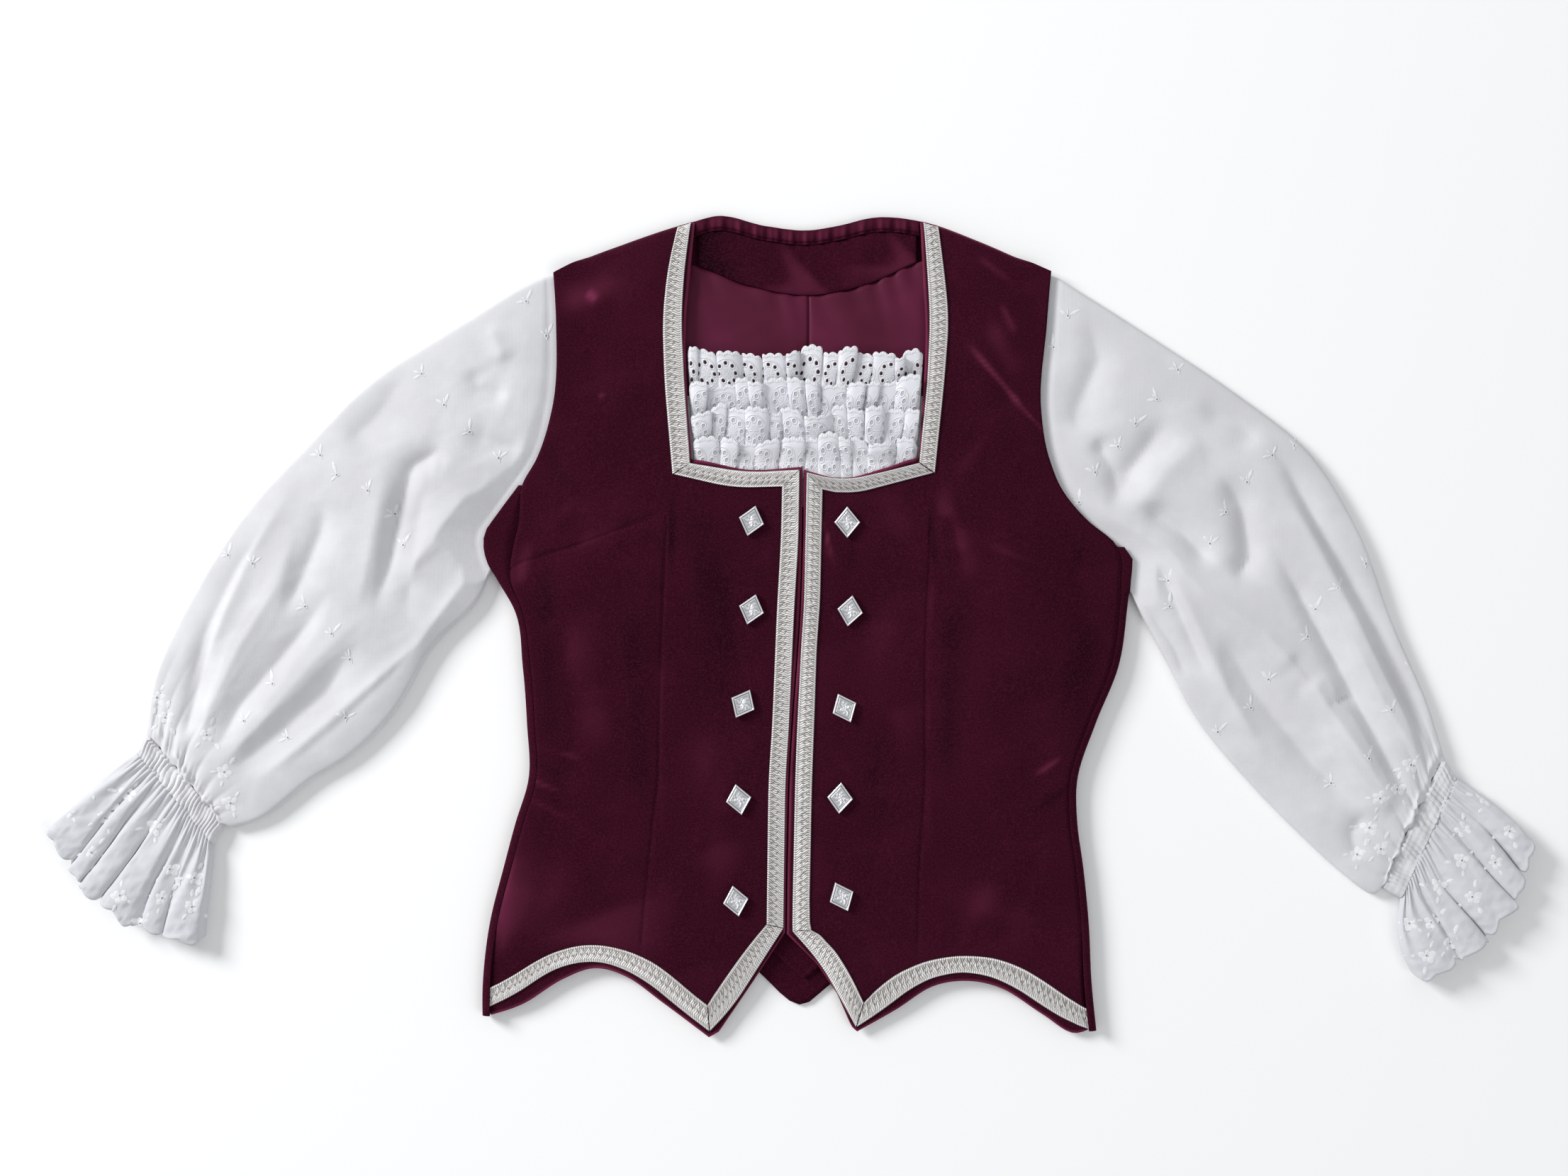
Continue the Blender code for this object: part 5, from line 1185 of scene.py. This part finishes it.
def make_frill(side, look):
    """The flounce, with its grid of points kept for the flowers: uneven cone folds between the valleys of the
    table, that widen to a scalloped edge."""
    valleys, depths = (np.array(values, float) for values in FRILL_VALLEYS[side])

    def flute(at):
        """Which fold a place is in, counted from 0, and how high it stands there."""
        turn = np.interp(at, valleys, np.arange(len(valleys)))
        return turn, (np.sin(math.pi * turn)**2 + 0.01)**0.3

    def leaned(along, part):
        return np.clip(part + 0.035 * np.sin(3.1 * along + 9 * part) * np.sin(math.pi * part) * along, 0, 1)

    def shape(along, part, height, x, y):
        tight = 1.7 * pleated(CUFF_PLEATS, part, 2.4 * np.sin(8 * part) + 0.4 * np.sin(19 * part)) - 1.0
        tight = tight * (1 - ease(along / 0.35))
        small = np.cos(TAU * 10 * part + 2.5 * along + 2 * np.sin(7 * part))
        small = small * ease(along / 0.15) * (1 - ease((along - 0.3) / 0.7))
        at = leaned(along, part)
        valley = np.interp(at, valleys, depths)
        full = (0.6 + 4.2 * ease(along * 1.1)) * (flute(at)[1] * (0.55 + valley) - 0.9 * valley)
        hemmed = 0.5 * bell(along - 0.985, 0.016) * (1 + 0.4 * np.cos(TAU * 90 * part))
        crumple = along * (0.8 * ripple(x, y, 21, 0.8) + 0.45 * ripple(x, y, 9, 1.6))
        return np.maximum(height + full + tight + small + hemmed + crumple, FRILL_LEAST)

    def bow(along, part, lower):
        dome = np.sin(math.pi * np.clip(part, 0, 1))
        at = np.clip(leaned(along, part) + 0.05 * lower, 0, 1)
        turn, stands = flute(at)
        valley = np.interp(at, valleys, depths) * (1 - stands)
        scallops = np.abs(np.sin(math.pi * FRILL_SCALLOPS * part + 1.2 * lower))**0.7
        ragged = 2.2 * np.sin(23 * part + 2.0 * lower) + 1.2 * np.sin(51 * part + 1.0)
        edge = 2.8 * scallops - 3.2 * valley - 1.2 + ragged * dome
        gap = np.interp(at, (valleys[1:] + valleys[:-1]) / 2, np.diff(valleys))
        aside = -0.15 * gap * np.sin(TAU * turn) * ease(1.3 * along) * (1 - lower)
        return FRILL_BOW * along * dome**0.8 + along**3 * edge, aside

    points, shares = tube_grid(FRILLS[side], side, FRILL_GRID, shape, bow, TUCKED_RINGS)
    piece = make_tube("frill_flounce", "frill", side, points, look, LACE, "lace", shares * np.array(FRILL_UV))
    return piece, points


def make_braid(side, run, look):
    """One braid strip: two cords with a plaited band of steps between them.

    S runs along and T across. The cords are half circles at both sides. Between them strands slant one way
    and others the other way, each in turn on top. The path's corners are rounded by taking the mean of places
    before and after, and its ends reach a little into the mitres.
    """
    edges = [np.array(edge, float) for edge in BRAID_PATHS[side][run]]
    reach = []
    for edge in edges:
        for end, next_in in ((0, 1), (-1, -2)):
            edge[end] += BRAID_TURN_IN * (edge[end] - edge[next_in]) / math.dist(edge[end], edge[next_in])
        reach.append(np.concatenate([[0], np.cumsum(np.hypot(*np.diff(edge, axis=0).T))]))
    length = max(reach[0][-1], reach[1][-1])
    s = np.linspace(0, 1, round(length / BRAID_GRAIN) + 1)[:, None]
    t = np.linspace(0, 1, BRAID_POINTS)[None]
    x = y = 0
    for edge, along, share in zip(edges, reach, (1 - t, t)):
        room = np.minimum(along[-1] * np.minimum(s, 1 - s), BRAID_BEND)
        for shift in np.linspace(-1, 1, BRAID_SHIFTS):
            x = x + share / BRAID_SHIFTS * np.interp(s * along[-1] + shift * room, along, edge[:, 0])
            y = y + share / BRAID_SHIFTS * np.interp(s * along[-1] + shift * room, along, edge[:, 1])
    to_side = np.minimum(t, 1 - t)
    cord = np.sqrt(np.clip(1 - ((to_side - CORD_WIDTH / 2) / (CORD_WIDTH / 2))**2, 0, 1))
    cord = cord * (0.9 + 0.1 * np.sin(TAU * s * length / 1.3))
    inner = np.clip((t - CORD_WIDTH) / (1 - 2 * CORD_WIDTH), 0, 1)
    wander = 0.08 * np.sin(s * length / 3.1) + 0.06 * np.sin(s * length / 1.7 + 4 * inner)
    over = s * length / BRAID_PITCH - 1.1 * ease(inner) + wander
    under = s * length / BRAID_PITCH + 0.9 * ease(1.4 * inner - 0.2) + 0.5 + wander
    over_strand, under_strand = (ease(np.abs(np.sin(math.pi * strand)) / 0.75) for strand in (over, under))
    on_top = ease(0.5 + 1.6 * np.cos(TAU * over + 2.0 * inner))
    steps = on_top * over_strand + (1 - on_top) * under_strand * 0.72
    steps = steps * (0.82 + 0.18 * np.cos(TAU * (3 * over + inner)))
    relief = np.where(to_side < CORD_WIDTH, CORD_HEIGHT * cord, STEP_HEIGHT * steps)
    worn = 0.25 * np.sin(s * length / 9 + 2) * np.sin(s * length / 23)
    from_side = np.abs(x - side_x(side, "edge", y))
    base = front_height(side, x, y) + LAID_GAP - SIDE_ROLL * round_off(from_side / SIDE_ROLL)
    z = base + BRAID + relief * 0.7 + worn * 0.4
    (face_x, face_y), (run_x, run_y) = edges[1][0] - edges[0][0], edges[0][1] - edges[0][0]
    ring = np.ix_(np.pad(np.arange(len(s)), 1, mode="edge"), np.pad(np.arange(BRAID_POINTS), 1, mode="edge"))
    x, y, z, base, relief = (values[ring] for values in (x, y, z, base, relief))
    for rim in ((slice(None), (0, -1)), ((0, -1), slice(None))):
        z[rim] = base[rim]
    uv = np.stack([s * length + 0 * t, t * BRAID_WIDTH + 0 * s], axis=-1)[ring]
    piece = shell(f"braid_strip_{side}_{run}", np.stack([x, y, z], axis=-1), look, 0, closed=True,
                  flip=bool(face_x * run_y - face_y * run_x < 0), uv=uv, extra=("relief", relief))
    return dress(piece, "braid", f"braid_{side}_{run}")


def make_button(side, number, row, look):
    """Lozenge with a raised rim, a fine inner line and a plain quatrefoil in the middle.

    P and Q run along the lozenge's own sides, so the larger of the two is 1 on its edge.
    """
    steps = np.linspace(-1, 1, BUTTON_GRID)
    p, q = np.meshgrid(steps, steps)
    away = np.maximum(np.abs(p), np.abs(q))
    local_x, local_y = BUTTON_WIDTH / 2 * (p - q) / 2, BUTTON_LENGTH / 2 * (p + q) / 2
    radius, angle = np.hypot(local_x, local_y), np.arctan2(local_y, local_x)
    rim = ease((away - 0.8) / 0.04) * ease((1.0 - away) / 0.05)
    leaves = ease((2.1 + 1.5 * np.cos(4 * angle) - radius) / 0.9)
    boss = ease((1.2 - radius) / 0.7)
    scrolls = (0.5 + 0.5 * np.cos(8 * angle + 1.6 * radius)) * ease((0.62 - away) / 0.06)
    field = 0.35 * ease((0.75 - away) / 0.03) + 0.35 * bell(away - 0.69, 0.025)
    relief = np.clip(rim + field + 0.4 * leaves + 0.25 * boss + 0.25 * scrolls, 0, 1)
    turn = math.radians(row["turn"])
    x = row["x"] + local_x * math.cos(turn) - local_y * math.sin(turn)
    y = row["y"] + local_x * math.sin(turn) + local_y * math.cos(turn)
    seat = front_height(side, x, y).max() + LAID_GAP
    z = seat + BUTTON_THICKNESS + BUTTON_RELIEF * (relief - 1) - 2.0 * ease((away - 0.955) / 0.045)
    piece = shell(f"lozenge_button_{side}_{number}", np.stack([x, y, z], axis=-1), look, 1.0,
                  extra=("relief", relief))
    return dress(piece, "button", f"button_{side}_{number}")


def cloth_height(points, x, y):
    """Height of the cloth at X and Y: the mean of the points nearby, each weighed by a bell of its distance.

    The second value is the largest distance from one of the places to the nearest point of the cloth.
    """
    near = points[np.hypot(points[:, 0] - x.mean(), points[:, 1] - y.mean()) < CLOTH_NEAR]
    away = (near[:, 0] - x[..., None])**2 + (near[:, 1] - y[..., None])**2
    weight = np.exp(-away / CLOTH_BELL**2)
    return (weight * near[:, 2]).sum(-1) / weight.sum(-1), math.sqrt(away.min(-1).max())


def make_embroidery(name, points, places, leaves, thread, dark, slot):
    """Satin stitch motifs: raised leaves round an eyelet, laid on the cloth's own points.

    A leaf's point at L along and W across is the motif's place, plus L times the leaf's direction and W times
    the bell of its width, at the cloth's height plus a crown. A leaf that would hang off the cloth is left
    out.
    """
    top = points.reshape(-1, 3)
    top = top[top[:, 2] > TOP_LAYER_Z]
    along, beside = np.linspace(0, 1, LEAF_GRID[0])[:, None], np.linspace(-1, 1, LEAF_GRID[1])[None]
    ring = np.linspace(0, TAU, RING_POINTS)[:, None]
    rim, hole = np.linspace(0, 1, RIM_POINTS)[None], np.linspace(0, 1, HOLE_POINTS)[None]
    patches, eyelets, rims = [], [], []
    for number, row in enumerate(places):
        for turn, start, reach, width in leaves:
            way = math.radians(row["turn"] + turn + 14 * math.sin(2.7 * number + turn))
            size = 1 + 0.16 * math.sin(1.9 * number + 0.6 * turn)
            length = size * (start + along * reach)
            half = 0.5 * size * width * np.sin(math.pi * (0.04 + 0.94 * along))**0.7 * beside
            x = row["x"] + length * math.cos(way) - half * math.sin(way)
            y = row["y"] + length * math.sin(way) + half * math.cos(way)
            ribs = 0.8 + 0.2 * np.cos(TAU * (length + np.abs(half)) / 0.9)
            crown = LEAF_CROWN * (1 - beside**2) * np.sin(math.pi * along)**0.5 * ribs
            level, off_cloth = cloth_height(top, x, y)
            if off_cloth < LEAF_REACH:
                patches.append(np.stack([x, y, level + crown], axis=-1))
        away = RIM_INNER + RIM_WIDTH * rim
        x, y = row["x"] + away * np.cos(ring), row["y"] + away * np.sin(ring)
        level, off_cloth = cloth_height(top, x, y)
        if off_cloth < LEAF_REACH:
            rims.append(np.stack([x, y, level + RIM_CROWN * np.sin(math.pi * rim)], axis=-1))
            x, y = row["x"] + EYELET_HOLE * hole * np.cos(ring), row["y"] + EYELET_HOLE * hole * np.sin(ring)
            eyelets.append(np.stack([x, y, cloth_height(top, x, y)[0]], axis=-1))
    return [dress(merged(f"{name}_leaves", np.array(patches), thread, LEAF_LIFT), slot),
            dress(merged(f"{name}_rims", np.array(rims)[:, ::-1], thread, RIM_LIFT), slot),
            dress(merged(f"{name}_eyelets", np.array(eyelets)[:, ::-1], dark, EYELET_LIFT), slot)]


def make_light(name, size, power, place):
    """A square soft light that faces the garment's middle."""
    lamp = bpy.data.lights.new(name, "AREA")
    lamp.shape, lamp.size, lamp.energy = "SQUARE", size, power
    item = add(name, lamp)
    item.location = place
    item.rotation_euler = Vector(place).to_track_quat("Z", "Y").to_euler()


def make_studio():
    """Soft light from the upper left, a weak fill, a pale world, and a camera straight above."""
    make_light("key", KEY_SIZE, KEY_POWER, KEY_PLACE)
    make_light("fill", FILL_SIZE, FILL_POWER, FILL_PLACE)
    world = bpy.data.worlds.new("studio")
    world.use_nodes = True
    world.node_tree.nodes["Background"].inputs["Color"].default_value = WORLD_COLOUR
    world.node_tree.nodes["Background"].inputs["Strength"].default_value = WORLD_STRENGTH
    bpy.context.scene.world = world
    bpy.context.scene.view_settings.view_transform = "Standard"
    lens = bpy.data.cameras.new("above")
    lens.lens, lens.sensor_width = LENS, SENSOR
    camera = add("above", lens)
    camera.location = (*VIEW_MIDDLE, VIEW_WIDTH * LENS / SENSOR)
    bpy.context.scene.camera = camera


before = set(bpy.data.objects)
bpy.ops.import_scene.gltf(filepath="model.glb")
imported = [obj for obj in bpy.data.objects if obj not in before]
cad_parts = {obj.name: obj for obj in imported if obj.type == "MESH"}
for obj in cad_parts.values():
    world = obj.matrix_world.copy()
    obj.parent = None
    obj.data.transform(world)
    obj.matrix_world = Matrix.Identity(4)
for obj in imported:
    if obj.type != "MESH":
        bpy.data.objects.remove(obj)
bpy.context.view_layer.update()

weave, rosettes, flowers = weave_group(), rosette_group(), flower_group()
velvet, satin, cotton = velvet_look(), satin_look(), cotton_look(weave)
stitched = stitched_look(flowers, weave)
lace_looks = [lace_look("eyelet_lace_top", rosettes, SHADED_LINING_BEHIND_TOP_TIER),
              lace_look("eyelet_lace", rosettes, SHADED_BACKING_BEHIND_TIERS)]
braid, plate_metal = braid_look(), button_look()
thread_look = plain_look("white_thread", THREAD, 0.5, 0.9)
eyelet_look = plain_look("eyelet_shadow", EYELET_SHADOW, 0.9, 0.9)
floor_look = plain_look("pale_floor", FLOOR, 0.95)

corners = np.array([(-1, -1), (1, -1), (1, 1), (-1, 1)]) * FLOOR_HALF
add_mesh("floor", np.insert(corners, 2, FLOOR_Z, axis=1), np.array([(0, 1, 2, 3)]), floor_look)
back = make_back(velvet)
lining_left, lining_right, facing, neck_band, backing = make_neck_inside(velvet, satin, cotton)
tab = make_hem_tab(velvet)
tiers = [make_tier(number, lace_looks[number > 0]) for number in range(len(TIERS))]
cut_to(back, *CUTS["back"], "laid", "floor")
cut_to(lining_left, *CUTS["lining_left"], "laid", "velvet_back")
cut_to(lining_right, *CUTS["lining_right"], "laid", "velvet_back")
cut_to(facing, *CUTS["facing"], "laid", "velvet_back")
cut_to(neck_band, *CUTS["neck_band"], "gathered", "velvet_facing")
cut_to(backing, *CUTS["backing"], "laid", "satin_lining_left", "satin_lining_right")
cut_to(tab, *CUTS["hem_tab"], "laid", "velvet_back")
for tier, (foot, height) in zip(tiers, TIERS):
    cut_to(tier, TIER_WIDTH, height, TIER_WIDTH * MM * height * MM, "gathered", "cotton_backing")
for side in ("left", "right"):
    front = make_front(side, velvet)
    trims = [make_braid(side, run, braid) for run in BRAID_PATHS[side]]
    trims += [make_button(side, number + 1, row, plate_metal) for number, row in enumerate(BUTTONS[side])]
    cut_to(front, *CUTS[f"front_{side}"], "laid", "velvet_back", trims=trims)
    sleeve, points = make_sleeve(side, cotton)
    trims = make_embroidery(f"sprigs_{side}", points, SPRIGS[side], SPRIG, thread_look, eyelet_look, "cotton")
    trims += make_embroidery(f"border_{side}", points, BORDER_FLOWERS[side], FLOWER, thread_look, eyelet_look,
                             "cotton")
    cut_to(sleeve, *CUTS[f"sleeve_{side}"], "gathered", "floor", trims=trims)
    cut_to(make_cuff(side, cotton), *CUTS[f"cuff_{side}"], "gathered", "floor")
    frill, points = make_frill(side, stitched)
    trims = make_embroidery(f"flowers_{side}", points, FRILL_FLOWERS[side], FLOWER, thread_look, eyelet_look,
                            "lace")
    cut_to(frill, *CUTS[f"frill_{side}"], "gathered", "floor", trims=trims)

make_studio()
